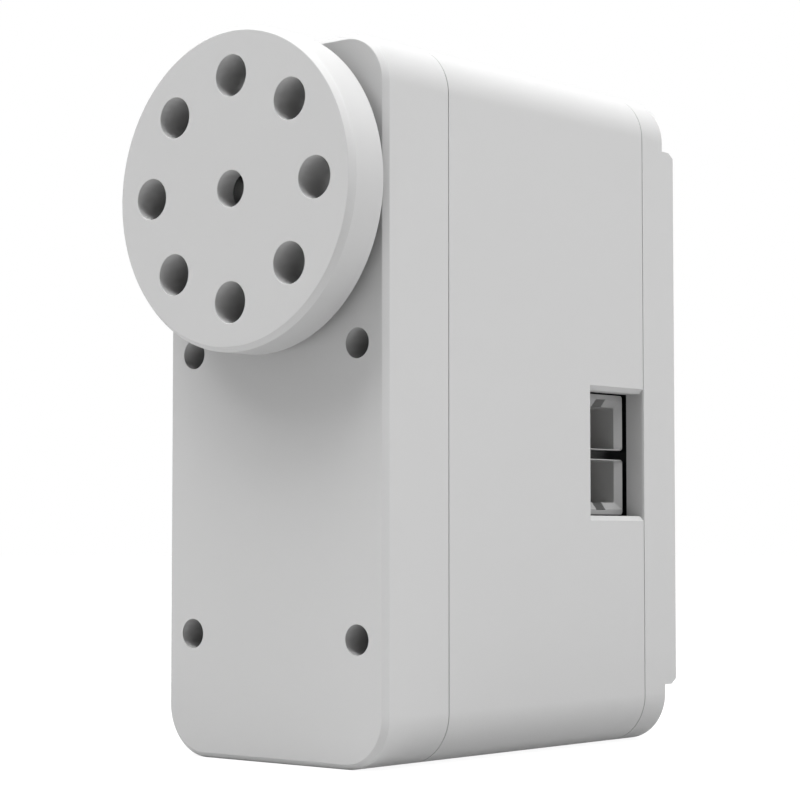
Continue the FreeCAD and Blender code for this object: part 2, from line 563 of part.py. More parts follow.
def front_case():
    """The front shell: the face with its mounting holes, the bearing seat and the pin bosses."""
    body = new_body("front_case")
    shell = pad(body, "front_shell", FRONT_FACE, "sizes.front_case_depth", outer_outline)
    edge = chamfer(body, "front_edge", shell, at_depth(FRONT_FACE), "sizes.front_chamfer")
    chamfer(body, "front_seam_edge", edge, at_depth(SEAM_FRONT), "sizes.seam_chamfer")
    inside = "(sizes.front_case_depth - sizes.front_wall)"
    pocket(body, "front_hollow", WALL_INSIDE, inside, inner_outline)
    pad(body, "front_screw_bosses", WALL_INSIDE, inside,
        lambda s: circles(s, CASE_SCREWS, "sizes.case_boss_radius"))
    pad(body, "mount_bosses", WALL_INSIDE, "(sizes.mount_boss_depth - sizes.front_wall)",
        lambda s: circles(s, MOUNT_HOLES, "sizes.mount_boss_radius"))
    pad(body, "bearing_collar_wall", WALL_INSIDE, f"({BEARING_REAR} - {WALL_INSIDE})",
        lambda s: circles(s, [("0", OUTPUT_AXIS)], "(sizes.bearing_radius + sizes.bearing_collar)"))
    pad(body, "upper_pin_boss", WALL_INSIDE, f"({FIFTH_LEVEL} - sizes.gear_gap - {WALL_INSIDE})",
        lambda s: circles(s, [("0", UPPER_AXIS)], "sizes.pin_boss_radius"))
    pad(body, "lower_pin_boss", WALL_INSIDE, f"({SECOND_LEVEL} - sizes.gear_gap - {WALL_INSIDE})",
        lambda s: circles(s, [("0", LOWER_AXIS)], "sizes.pin_boss_radius"))
    pocket(body, "horn_hub_hole", FRONT_FACE, "sizes.front_wall",
        lambda s: circles(s, [("0", OUTPUT_AXIS)], "(sizes.horn_hub_radius + sizes.lip_clearance)"))
    pocket(body, "bearing_seat", BEARING_FRONT, "sizes.bearing_width",
        lambda s: circles(s, [("0", OUTPUT_AXIS)], "(sizes.bearing_radius + sizes.fit_clearance)"))
    pocket(body, "mount_holes", FRONT_FACE, "sizes.mount_hole_depth",
        lambda s: circles(s, MOUNT_HOLES, "sizes.mount_hole_radius"))
    pocket(body, "front_screw_holes", WALL_INSIDE, inside,
        lambda s: circles(s, CASE_SCREWS, "(sizes.case_screw_radius + sizes.thread_clearance)"))
    pocket(body, "upper_pin_seat", UPPER_PIN_FRONT, f"({FIFTH_LEVEL} - {UPPER_PIN_FRONT})",
        lambda s: circles(s, [("0", UPPER_AXIS)], "(sizes.pin_radius + sizes.fit_clearance)"))
    pocket(body, "lower_pin_seat", LOWER_PIN_FRONT, f"({SECOND_LEVEL} - {LOWER_PIN_FRONT})",
        lambda s: circles(s, [("0", LOWER_AXIS)], "(sizes.pin_radius + sizes.fit_clearance)"))
    return body


def middle_case():
    """The long shell with its bulkhead and its side opening for the plugs."""
    body = new_body("middle_case")
    tube = pad(body, "middle_shell", SEAM_FRONT, "sizes.middle_case_depth", outer_outline)
    edge = chamfer(body, "middle_front_edge", tube, at_depth(SEAM_FRONT), "sizes.seam_chamfer")
    chamfer(body, "middle_rear_edge", edge, at_depth(SEAM_REAR), "sizes.seam_chamfer")
    gear_room = f"({BULKHEAD_FRONT} - {SEAM_FRONT})"
    motor_room = f"({SEAM_REAR} - {BULKHEAD_REAR})"
    pocket(body, "gear_hollow", SEAM_FRONT, gear_room, inner_outline)
    pocket(body, "motor_hollow", BULKHEAD_REAR, motor_room, inner_outline)
    pad(body, "gear_screw_bosses", SEAM_FRONT, gear_room,
        lambda s: circles(s, CASE_SCREWS, "sizes.case_boss_radius"))
    pad(body, "motor_screw_bosses", BULKHEAD_REAR, motor_room,
        lambda s: circles(s, CASE_SCREWS, "sizes.case_boss_radius"))
    collar = f"({BULKHEAD_FRONT} - {FIRST_LEVEL})"
    pad(body, "upper_pin_collar", FIRST_LEVEL, collar,
        lambda s: circles(s, [("0", UPPER_AXIS)], "sizes.pin_collar_radius"))
    pad(body, "sensor_posts", BULKHEAD_REAR, "(sizes.sensor_gap + sizes.sensor_thickness)",
        lambda s: circles(s, SENSOR_SCREWS, "sizes.sensor_post_radius"))
    pocket(body, "case_screw_holes", SEAM_FRONT, "sizes.middle_case_depth",
        lambda s: circles(s, CASE_SCREWS, "(sizes.case_screw_radius + sizes.screw_clearance)"))
    pocket(body, "bush_seat", BULKHEAD_FRONT, "sizes.bulkhead",
        lambda s: circles(s, [("0", OUTPUT_AXIS)], "(sizes.bush_radius + sizes.fit_clearance)"))
    pocket(body, "pin_seats", FIRST_LEVEL, f"({collar} + sizes.bulkhead)",
        lambda s: circles(s, [("0", UPPER_AXIS), ("0", LOWER_AXIS)],
                          "(sizes.pin_radius + sizes.fit_clearance)"))
    pocket(body, "motor_nose_hole", BULKHEAD_FRONT, "sizes.bulkhead",
        lambda s: circles(s, [("0", MOTOR_AXIS)], "(sizes.motor_nose_radius + sizes.fit_clearance)"))
    pocket(body, "motor_screw_holes", BULKHEAD_FRONT, "sizes.bulkhead",
        lambda s: circles(s, MOTOR_SCREWS, "(sizes.small_screw_radius + sizes.screw_clearance)"))
    bite = "(sizes.sensor_screw_bite + sizes.screw_tip_gap)"
    pocket(body, "sensor_screw_holes", f"({SENSOR_REAR} - {bite})", bite,
        lambda s: circles(s, SENSOR_SCREWS, "(sizes.small_screw_radius + sizes.thread_clearance)"))
    low = f"({SOCKET_PLANE} - sizes.opening_height / 2)"
    high = f"({SOCKET_PLANE} + sizes.opening_height / 2)"
    front = f"({SEAM_REAR} - sizes.opening_depth)"
    window = feature(body, "Pocket", "plug_opening", "YZ_Plane", ("0", "0", SIDE),
                     lambda s: rectangle(s, front, SEAM_REAR, low, high), "(2 * sizes.wall)")
    lips = [number(low), number(high)]
    chamfer(body, "plug_opening_lips", window,
            lambda p: abs(p.x - number(SIDE)) < CLOSE and min(abs(p.z - z) for z in lips) < CLOSE
            and p.y < number(SEAM_REAR) + CLOSE, "sizes.opening_chamfer")
    return body


def rear_cover():
    """The rear shell: a plateau with a notch for each case screw, and bosses for the main board."""
    body = new_body("rear_cover")
    whole = f"({REAR_FACE} - {SEAM_REAR})"
    shell = pad(body, "rear_shell", SEAM_REAR, whole, outer_outline)
    chamfer(body, "rear_seam_edge", shell, at_depth(SEAM_REAR), "sizes.seam_chamfer")
    beyond = "sizes.notch_radius * 2"
    notches = [
        (f"({SIDE} - sizes.notch_width)", f"({SIDE} + {beyond})"),
        (f"(-{SIDE} - {beyond})", f"(-{SIDE} + sizes.notch_width)"),
    ]
    bands = [
        (f"({TOP} - sizes.notch_height)", f"({TOP} + {beyond})"),
        (f"({BASE} - {beyond})", f"({BASE} + sizes.notch_height)"),
    ]

    def notch_outlines(sketch):
        for left, right in notches:
            for low, high in bands:
                rounded(sketch, left, right, low, high, "sizes.notch_radius")

    cut = pocket(body, "screw_notches", SCREW_SEAT, "sizes.plateau_rise", notch_outlines)
    chamfer(body, "plateau_edge", cut, at_depth(REAR_FACE), "sizes.plateau_chamfer")
    rim_inside = "(sizes.rear_rim_depth - sizes.rear_wall)"
    pocket(body, "rim_hollow", SEAM_REAR, rim_inside, inner_outline)
    room = "(sizes.board_clearance / 2)"
    pocket(body, "board_hollow", SEAM_REAR, f"({whole} - sizes.rear_wall)",
        lambda s: rectangle(s, f"(-{BOARD_SIDE} - {room})", f"({BOARD_SIDE} + {room})",
                            f"({BOARD_BASE} - {room})", f"({BOARD_TOP} + {room})"))
    pad(body, "rear_screw_bosses", SEAM_REAR, rim_inside,
        lambda s: circles(s, CASE_SCREWS, "sizes.case_boss_radius"))
    behind_board = f"({REAR_FACE} - sizes.rear_wall - {BOARD_REAR})"
    pad(body, "board_bosses", BOARD_REAR, behind_board,
        lambda s: circles(s, BOARD_SCREWS, "sizes.board_boss_radius"))
    pocket(body, "rear_screw_holes", SEAM_REAR, "sizes.rear_rim_depth",
        lambda s: circles(s, CASE_SCREWS, "(sizes.case_screw_radius + sizes.screw_clearance)"))
    pocket(body, "board_screw_holes", BOARD_REAR, BOARD_SCREW_BITE,
        lambda s: circles(s, BOARD_SCREWS, "(sizes.small_screw_radius + sizes.thread_clearance)"))
    return body


def screw(name, place, seat, length, shank, head, height, direction):
    """One screw with its head on the plane at depth seat. Direction is 1 where the shank points
    to the rear and -1 where it points to the front."""
    body = doc.addObject("PartDesign::Body", name)
    shoulder = f"({seat} - ({direction}) * sizes.seat_gap)"
    crown = f"({shoulder} - ({direction}) * {height})"
    rim = f"({crown} + ({direction}) * {height} / 2)"
    tip = f"({shoulder} + ({direction}) * {length})"
    points = [(crown, "0"), (crown, f"({head} * sizes.screw_crown)"), (rim, head), (shoulder, head)]
    points += [(shoulder, shank), (tip, shank), (tip, "0")]
    revolve(body, f"{name}_turning", "Revolution", place, lambda s: polygon(s, points))
    return body


def case_screws():
    """Four long screws through all three shells, from behind."""
    one = screw("case_screw", CASE_SCREWS[0], SCREW_SEAT, "sizes.case_screw_length",
                "sizes.case_screw_radius", "sizes.case_screw_head_radius",
                "sizes.case_screw_head_height", -1)
    upper = together("upper_case_screws", [one, mirrored(one, "case_screw_left", ACROSS)])
    lower = mirrored(upper, "lower_case_screws", UPRIGHT, MIDDLE)
    return node(together("case_screw_set", [upper, lower]), "case_screws")


def small_screw(name, place, seat, length, direction):
    """One of the small screws inside the case."""
    return screw(name, place, seat, length, "sizes.small_screw_radius", "sizes.small_head_radius",
                 "sizes.small_head_height", direction)


def inner_screws():
    """The screws of the motor, of the sensor's board and of the main board."""
    motor = small_screw("motor_screw", MOTOR_SCREWS[0], BULKHEAD_FRONT, "sizes.motor_screw_length", 1)
    pair = together("motor_screw_pair", [motor, mirrored(motor, "motor_screw_left", ACROSS)])
    node(pair, "motor_screws")
    sensor = small_screw("sensor_screw", SENSOR_SCREWS[0], SENSOR_BOARD_REAR,
                         "(sizes.sensor_screw_bite + sizes.sensor_board_thickness)", -1)
    pair = together("sensor_screw_pair", [sensor, mirrored(sensor, "sensor_screw_left", ACROSS)])
    node(pair, "sensor_screws")
    board = small_screw("board_screw", BOARD_SCREWS[0], BOARD_FRONT, "sizes.board_screw_length", 1)
    upper = together("upper_board_screws", [board, mirrored(board, "board_screw_left", ACROSS)])
    lower = mirrored(upper, "lower_board_screws", UPRIGHT, MIDDLE)
    node(together("board_screw_set", [upper, lower]), "board_screws")


# Output: horn, shaft, bearing, bush and spacer


def along_axis(radius, angle):
    """A point at a radius and at an angle from +Z, turning towards +X."""
    return FreeCAD.Vector(radius * math.sin(angle), 0, radius * math.cos(angle))


def spline_face(clearance):
    """The toothed section of the shaft's spline, grown by a clearance."""
    tip = sheet.spline_radius + clearance
    root = tip - sheet.spline_depth
    teeth = int(sheet.spline_teeth)
    step = math.pi / teeth
    spots = [along_axis(tip if i % 2 == 0 else root, i * step) for i in range(2 * teeth)]
    return Part.Face(Part.makePolygon(spots + spots[:1]))


def output_horn():
    """The round horn: its disc with eight holes round a centre hole, and its splined hub."""
    across = "(sizes.horn_radius - sizes.horn_chamfer_across)"
    back = "sizes.horn_thickness"
    hub_end = f"({BEARING_FRONT} - sizes.seat_gap)"
    body = doc.addObject("PartDesign::Body", "horn_blank")
    points = [("0", "0"), ("0", across), ("sizes.horn_chamfer_deep", "sizes.horn_radius")]
    points += [(f"({back} - sizes.horn_back_chamfer)", "sizes.horn_radius")]
    points += [(back, "(sizes.horn_radius - sizes.horn_back_chamfer)"), (back, "sizes.horn_hub_radius")]
    points += [(hub_end, "sizes.horn_hub_radius"), (hub_end, "0")]
    revolve(body, "horn_turning", "Revolution", ("0", OUTPUT_AXIS), lambda s: polygon(s, points))
    pocket(body, "horn_centre_hole", "0", hub_end,
        lambda s: circles(s, [("0", OUTPUT_AXIS)], "sizes.horn_centre_radius"))
    hole = pocket(body, "horn_hole", "0", back,
        lambda s: circles(s, [("0", "(sizes.horn_hole_circle / 2)")], "sizes.horn_hole_radius"))
    ring = body.newObject("PartDesign::PolarPattern", "horn_holes")
    ring.Originals = [hole]
    ring.Axis = (hole.Profile[0], ["N_Axis"])
    ring.Angle = 360
    ring.setExpression("Occurrences", "sizes.horn_hole_count")
    body.Tip = ring
    socket = doc.addObject("Part::Feature", "horn_spline_socket")
    depth = number(hub_end) - sheet.horn_web
    socket.Shape = spline_face(sheet.fit_clearance).extrude(DEEPER * depth)
    socket.Placement.Base.y = sheet.horn_web
    horn = doc.addObject("Part::Cut", "horn_cut")
    horn.Base = body
    horn.Tool = socket
    return node(horn, "output_horn")


def output_shaft():
    """The output shaft: a splined nose, the bearing journal, a shoulder, the gear's seat and a
    slim tail with a flat that turns the position sensor."""
    nose = "(sizes.horn_web + sizes.seat_gap)"
    gear_rear = f"({FIFTH_LEVEL} + sizes.fifth_width)"
    end = f"({SENSOR_REAR} + sizes.shaft_end_margin)"
    body = doc.addObject("PartDesign::Body", "shaft_blank")
    root = "(sizes.spline_radius - sizes.spline_depth)"
    points = [(nose, "0"), (nose, root), (BEARING_FRONT, root), (BEARING_FRONT, "sizes.bearing_bore")]
    points += [(BEARING_REAR, "sizes.bearing_bore"), (BEARING_REAR, "sizes.shoulder_radius")]
    points += [(FIFTH_LEVEL, "sizes.shoulder_radius"), (FIFTH_LEVEL, "sizes.output_seat_radius")]
    points += [(gear_rear, "sizes.output_seat_radius"), (gear_rear, "sizes.tail_radius")]
    points += [(end, "sizes.tail_radius"), (end, "0")]
    revolve(body, "shaft_turning", "Revolution", ("0", OUTPUT_AXIS), lambda s: polygon(s, points))
    pocket(body, "nose_hole", nose, "sizes.nose_hole_depth",
        lambda s: circles(s, [("0", OUTPUT_AXIS)], "sizes.horn_centre_radius"))
    pocket(body, "shaft_flat", SENSOR_FRONT, f"({end} - {SENSOR_FRONT})",
        lambda s: rectangle(s, "(-sizes.tail_radius)", "sizes.tail_radius", "sizes.tail_flat",
                            "(sizes.tail_radius * 2)"))
    teeth = doc.addObject("Part::Feature", "shaft_spline")
    length = number(BEARING_FRONT) - number(nose)
    core = Part.makeCircle(number(root) - sheet.spline_depth, FreeCAD.Vector(), DEEPER)
    section = spline_face(0).cut(Part.Face(Part.Wire(core)))
    teeth.Shape = section.extrude(DEEPER * length)
    teeth.Placement.Base.y = number(nose)
    shaft = doc.addObject("Part::Fuse", "shaft_fuse")
    shaft.Base = body
    shaft.Tool = teeth
    return node(shaft, "output_shaft")


def bearing():
    """The front bearing: two rings with eight-sided grooves and the balls between them."""
    inner_edge = "(sizes.bearing_bore + sizes.ring_thickness)"
    outer_edge = "(sizes.bearing_radius - sizes.ring_thickness)"
    rings = (("bearing_inner_ring", "sizes.bearing_bore", inner_edge),
             ("bearing_outer_ring", outer_edge, "sizes.bearing_radius"))
    groove = "(sizes.ball_radius + sizes.running_clearance)"
    flat = f"({groove} * (sqrt(2) - 1))"
    across = [flat, groove, groove, flat, f"(-{flat})", f"(-{groove})", f"(-{groove})", f"(-{flat})"]
    eight_sided = [(f"({BEARING_MIDDLE} + {along})", f"({BEARING_PITCH} + {out})")
                   for along, out in zip(across, across[2:] + across[:2])]
    for label, inner, outer in rings:
        section = ring_points(BEARING_FRONT, BEARING_REAR, inner, outer)
        body = turned_body(label, ("0", OUTPUT_AXIS), section)
        revolve(body, f"{label}_groove", "Groove", ("0", OUTPUT_AXIS), lambda s: polygon(s, eight_sided))
    balls = []
    for index in range(int(sheet.ball_count)):
        ball = doc.addObject("Part::Sphere", f"ball_{index + 1}")
        turn = f"({index} * 360 / sizes.ball_count)"
        ball.setExpression("Radius", "sizes.ball_radius")
        ball.setExpression("Placement.Base.x", f"{BEARING_PITCH} * sin({turn})")
        ball.setExpression("Placement.Base.y", BEARING_MIDDLE)
        ball.setExpression("Placement.Base.z", f"{BEARING_PITCH} * cos({turn})")
        balls.append(ball)
    node(together("ball_ring", balls), "bearing_balls")


def shaft_bush_and_spacer():
    """The flanged bush in the bulkhead and the sleeve that keeps the third gear off it."""
    bore = "(sizes.tail_radius + sizes.running_clearance)"
    flange = f"({BULKHEAD_FRONT} - sizes.bush_flange)"
    points = [(flange, bore), (BULKHEAD_REAR, bore), (BULKHEAD_REAR, "sizes.bush_radius")]
    points += [(BULKHEAD_FRONT, "sizes.bush_radius"), (BULKHEAD_FRONT, "sizes.bush_flange_radius")]
    points += [(flange, "sizes.bush_flange_radius")]
    turned_body("shaft_bush", ("0", OUTPUT_AXIS), points)
    start = f"({THIRD_LEVEL} + sizes.third_width + sizes.seat_gap)"
    turned_body("shaft_spacer", ("0", OUTPUT_AXIS),
                ring_points(start, f"({flange} - sizes.seat_gap)", bore, f"({bore} + sizes.spacer_wall)"))


# Gear train: involute spur teeth of 20 degrees, with long pinion teeth and short wheel teeth


def involute_roll(radius, base):
    """The involute function at a radius, for a base circle."""
    cosine = min(1.0, base / radius)
    return math.tan(math.acos(cosine)) - math.acos(cosine)


def gear_face(module, teeth, shift, play, first_tooth):
    """The toothed section of a gear. Each flank is an arc through three points of its involute, tips
    and roots are straight, and first_tooth is the angle of one tooth from +Z."""
    pitch = module * teeth / 2
    base = pitch * math.cos(PRESSURE_ANGLE)
    tip = pitch + module * (ADDENDUM + shift)
    root = pitch - module * (DEDENDUM - shift)
    start = max(base, root)
    thickness = module * (math.pi / 2 + 2 * shift * math.tan(PRESSURE_ANGLE)) - play / 2
    at_base = thickness / (2 * pitch) + involute_roll(pitch, base)

    def flank(radius, side, centre):
        return along_axis(radius, centre + side * (at_base - involute_roll(radius, base)))

    edges = []
    step = 2 * math.pi / teeth
    halfway = (start + tip) / 2
    foot = at_base - involute_roll(start, base)
    for index in range(teeth):
        centre = first_tooth + index * step
        edges.append(Part.Arc(flank(start, -1, centre), flank(halfway, -1, centre), flank(tip, -1, centre)))
        edges.append(Part.LineSegment(flank(tip, -1, centre), flank(tip, 1, centre)))
        edges.append(Part.Arc(flank(tip, 1, centre), flank(halfway, 1, centre), flank(start, 1, centre)))
        rise = along_axis(root, centre + foot)
        fall = along_axis(root, centre + step - foot)
        undercut = start - root > CLOSE
        if undercut:
            edges.append(Part.LineSegment(flank(start, 1, centre), rise))
        edges.append(Part.LineSegment(rise, fall))
        if undercut:
            edges.append(Part.LineSegment(fall, flank(start, -1, centre + step)))
    return Part.Face(Part.Wire([edge.toShape() for edge in edges]))


def toothed(module, teeth, kind, mate_above, start, width):
    """A toothed disc from depth start. A pinion points a tooth at its mate and a wheel a gap."""
    shift = sheet.pinion_shift if kind == "pinion" else -sheet.pinion_shift
    towards = 0 if mate_above else math.pi
    first_tooth = towards if kind == "pinion" else towards + math.pi / teeth
    face = gear_face(module, teeth, shift, sheet.tooth_play, first_tooth)
    disc = face.extrude(DEEPER * width)
    disc.translate(DEEPER * start)
    return disc


def gear(label, axis, bore, discs):
    """A gear of one or two toothed discs on one bore."""
    shape = discs[0]
    for disc in discs[1:]:
        shape = shape.fuse(disc)
    bounds = shape.BoundBox
    hole = Part.makeCylinder(bore, bounds.YLength, DEEPER * bounds.YMin, DEEPER)
    item = doc.addObject("Part::Feature", f"{label}_teeth")
    item.Shape = shape.cut(hole)
    item.Placement.Base.z = number(axis)
    return node(item, label)


def compound_gear(label, axis, bore, wheel, pinion, upwards):
    """A wheel and the pinion in front of it, each given by module, teeth, depth and width. The
    pinion is longer by the gap between levels, so that it joins its wheel."""
    module, teeth, start, width = wheel
    large = toothed(module, teeth, "wheel", not upwards[0], start, width)
    module, teeth, start, width = pinion
    small = toothed(module, teeth, "pinion", upwards[1], start, width + sheet.gear_gap)
    return gear(label, axis, bore, [large, small])


def gear_train():
    """The motor pinion, four compound gears on three axes and the output gear."""
    pairs = ("first", "second", "third", "fourth", "fifth")
    depths = (FIRST_LEVEL, SECOND_LEVEL, THIRD_LEVEL, FOURTH_LEVEL, FIFTH_LEVEL)
    levels = [number(depth) for depth in depths]
    modules = [number(module) for module in (FIRST_MODULE, MODULE, MODULE, FOURTH_MODULE, FIFTH_MODULE)]
    widths = [sheet.getPropertyByName(f"{pair}_width") for pair in pairs]
    pinions = [int(sheet.getPropertyByName(f"{pair}_pinion_teeth")) for pair in pairs]
    wheels = [int(sheet.getPropertyByName(f"{pair}_wheel_teeth")) for pair in pairs]
    drives_upwards = [True, True, True, False, True]
    pin_bore = sheet.pin_radius + sheet.running_clearance
    tail_bore = sheet.tail_radius + sheet.running_clearance
    carriers = [("first_gear", LOWER_AXIS, pin_bore), ("second_gear", UPPER_AXIS, pin_bore),
                ("third_gear", OUTPUT_AXIS, tail_bore), ("fourth_gear", UPPER_AXIS, pin_bore)]
    gear("motor_pinion", MOTOR_AXIS, sheet.motor_shaft_radius + sheet.fit_clearance,
         [toothed(modules[0], pinions[0], "pinion", True, levels[0], widths[0])])
    for stage, (label, axis, bore) in enumerate(carriers):
        wheel = (modules[stage], wheels[stage], levels[stage], widths[stage])
        pinion = (modules[stage + 1], pinions[stage + 1], levels[stage + 1], widths[stage + 1])
        compound_gear(label, axis, bore, wheel, pinion, drives_upwards[stage:stage + 2])
    gear("output_gear", OUTPUT_AXIS, sheet.output_seat_radius + sheet.fit_clearance,
         [toothed(modules[-1], wheels[-1], "wheel", False, levels[-1], widths[-1])])


def gear_pins():
    """The two fixed pins that the compound gears turn on."""
    for label, axis, start in (("upper_gear_pin", UPPER_AXIS, UPPER_PIN_FRONT),
                               ("lower_gear_pin", LOWER_AXIS, LOWER_PIN_FRONT)):
        pin = rod(f"{label}_rod", "sizes.pin_radius", f"{BULKHEAD_REAR} - {start}", "0", start, axis)
        node(pin, label)


# Motor


def motor():
    """The motor: can, magnets, armature with its windings and commutator, shaft, brushes and cap."""
    axis = ("0", MOTOR_AXIS)
    shaft_bore = "(sizes.motor_shaft_radius + sizes.running_clearance)"
    nose = f"({BULKHEAD_REAR} - sizes.motor_nose_length)"
    front_inside = f"({BULKHEAD_REAR} + sizes.can_wall)"
    points = [(nose, shaft_bore), (front_inside, shaft_bore), (front_inside, CAN_INSIDE)]
    points += [(MOTOR_REAR, CAN_INSIDE), (MOTOR_REAR, MOTOR_RADIUS)]
    points += [(BULKHEAD_REAR, MOTOR_RADIUS), (BULKHEAD_REAR, "sizes.motor_nose_radius")]
    points += [(nose, "sizes.motor_nose_radius")]
    can = turned_body("motor_can", axis, points)
    pocket(can, "can_screw_holes", BULKHEAD_REAR, "sizes.can_wall",
        lambda s: circles(s, MOTOR_SCREWS, "(sizes.small_screw_radius + sizes.thread_clearance)"))

    cap_front = f"({MOTOR_REAR} - sizes.end_cap_spigot)"
    cap_rear = f"({MOTOR_REAR} + sizes.end_cap_length)"
    spigot = f"({CAN_INSIDE} - sizes.fit_clearance)"
    cap_radius = f"({MOTOR_RADIUS} - sizes.end_cap_inset)"
    points = [(cap_front, shaft_bore), (cap_rear, shaft_bore), (cap_rear, cap_radius)]
    points += [(f"({MOTOR_REAR} + sizes.seat_gap)", cap_radius)]
    points += [(f"({MOTOR_REAR} + sizes.seat_gap)", spigot), (cap_front, spigot)]
    cap = turned_body("motor_end_cap", axis, points)
    slot = "(sizes.terminal_thickness + 2 * sizes.fit_clearance)"
    height = "(sizes.terminal_width + 2 * sizes.fit_clearance)"

    def terminal_slots(sketch):
        for side in (TERMINAL_X, f"(-{TERMINAL_X})"):
            rectangle(sketch, *about(side, slot), *about(MOTOR_AXIS, height))

    pocket(cap, "terminal_slots", cap_front, f"({cap_rear} - {cap_front})", terminal_slots)

    magnet_front = f"({ARMATURE_FRONT} - sizes.coil_bulge)"
    magnet_length = f"({ARMATURE_LENGTH} + 2 * sizes.coil_bulge)"
    outer = rod("magnet_outside", f"({CAN_INSIDE} - sizes.fit_clearance)", magnet_length,
                "0", magnet_front, MOTOR_AXIS)
    inner = rod("magnet_inside", MAGNET_INSIDE, magnet_length, "0", magnet_front, MOTOR_AXIS)
    outer.setExpression("Angle", "sizes.magnet_angle")
    outer.Placement.Rotation = TOWARDS_REAR.multiply(FreeCAD.Rotation(UPRIGHT, -sheet.magnet_angle / 2))
    magnet = doc.addObject("Part::Cut", "magnet_right")
    magnet.Base = outer
    magnet.Tool = inner
    pair = together("magnet_pair", [magnet, mirrored(magnet, "magnet_left", ACROSS)])
    node(pair, "motor_magnets")

    armature()
    bore = "(sizes.motor_shaft_radius + sizes.fit_clearance)"
    turned_body("motor_commutator", axis,
                ring_points(COMMUTATOR_FRONT, COMMUTATOR_REAR, bore, "sizes.commutator_radius"))
    shaft_end = f"({cap_rear} - sizes.can_wall)"
    shaft = rod("motor_shaft_rod", "sizes.motor_shaft_radius", f"{shaft_end} - {FIRST_LEVEL}",
                "0", FIRST_LEVEL, MOTOR_AXIS)
    node(shaft, "motor_shaft")

    brush_front = f"({COMMUTATOR_FRONT} + sizes.seat_gap)"
    brush = box("brush_right", (
        ("(sizes.commutator_radius + sizes.seat_gap)", f"({TERMINAL_X} - sizes.terminal_thickness / 2)"),
        (brush_front, f"({brush_front} + sizes.brush_width)"),
        about(MOTOR_AXIS, "sizes.brush_width")))
    pair = together("brush_pair", [brush, mirrored(brush, "brush_left", ACROSS)])
    node(pair, "motor_brushes")
    blade = box("terminal_right", (
        about(TERMINAL_X, "sizes.terminal_thickness"),
        (brush_front, BOARD_REAR),
        about(MOTOR_AXIS, "sizes.terminal_width")))
    pair = together("terminal_pair", [blade, mirrored(blade, "terminal_left", ACROSS)])
    node(pair, "motor_terminals")


def polar(body, name, item):
    """Repeats a feature round the motor's axis, once for each tooth of the armature."""
    pattern = body.newObject("PartDesign::PolarPattern", name)
    pattern.Originals = [item]
    centre = new_sketch(body, f"{name}_axis", "XZ_Plane", ("0", MOTOR_AXIS, "0"))
    pattern.Axis = (centre, ["N_Axis"])
    pattern.Angle = 360
    pattern.setExpression("Occurrences", "sizes.armature_teeth")
    body.Tip = pattern


def armature():
    """The armature's laminated stack of T-shaped teeth, and the windings that fill its slots."""
    middle = [("0", MOTOR_AXIS)]
    hub, length = "sizes.armature_hub", ARMATURE_LENGTH
    shoe = f"({ARMATURE_RADIUS} - sizes.tooth_tip)"
    outside = f"(-{ARMATURE_RADIUS} * 2)"

    def block(width, low, high):
        return lambda s: rectangle(s, f"(-{width} / 2)", f"({width} / 2)",
                                   f"({MOTOR_AXIS} + {low})", f"({MOTOR_AXIS} + {high})")

    stack = new_body("motor_armature")
    pad(stack, "stack_outline", ARMATURE_FRONT, length, lambda s: circles(s, middle, ARMATURE_RADIUS))

    def winding_room(sketch):
        circles(sketch, middle, hub)
        circles(sketch, middle, shoe)

    pocket(stack, "winding_room", ARMATURE_FRONT, length, winding_room)
    stem = pad(stack, "tooth_stem", ARMATURE_FRONT, length,
               block("sizes.stem_width", f"({hub} / 2)", f"({shoe} + sizes.tooth_tip / 2)"))
    polar(stack, "tooth_stems", stem)
    mouth = pocket(stack, "slot_mouth", ARMATURE_FRONT, length,
                   block("sizes.slot_opening", outside, f"(-{shoe} + sizes.tooth_tip / 2)"))
    polar(stack, "slot_mouths", mouth)
    pocket(stack, "armature_bore", ARMATURE_FRONT, length,
        lambda s: circles(s, middle, "(sizes.motor_shaft_radius + sizes.fit_clearance)"))

    coils = new_body("motor_windings")
    start = f"({ARMATURE_FRONT} - sizes.coil_bulge)"
    end = f"({COMMUTATOR_FRONT} - sizes.seat_gap)"
    outline = ring_points(start, end, f"({hub} + sizes.fit_clearance)", f"({shoe} - sizes.fit_clearance)")
    revolve(coils, "coil_turning", "Revolution", ("0", MOTOR_AXIS), lambda s: polygon(s, outline))
    room = "(sizes.stem_width + 2 * sizes.fit_clearance)"
    gap = pocket(coils, "stem_gap", f"({ARMATURE_FRONT} - sizes.fit_clearance)",
                 f"({length} + 2 * sizes.fit_clearance)", block(room, "0", ARMATURE_RADIUS))
    polar(coils, "stem_gaps", gap)


# Position sensor


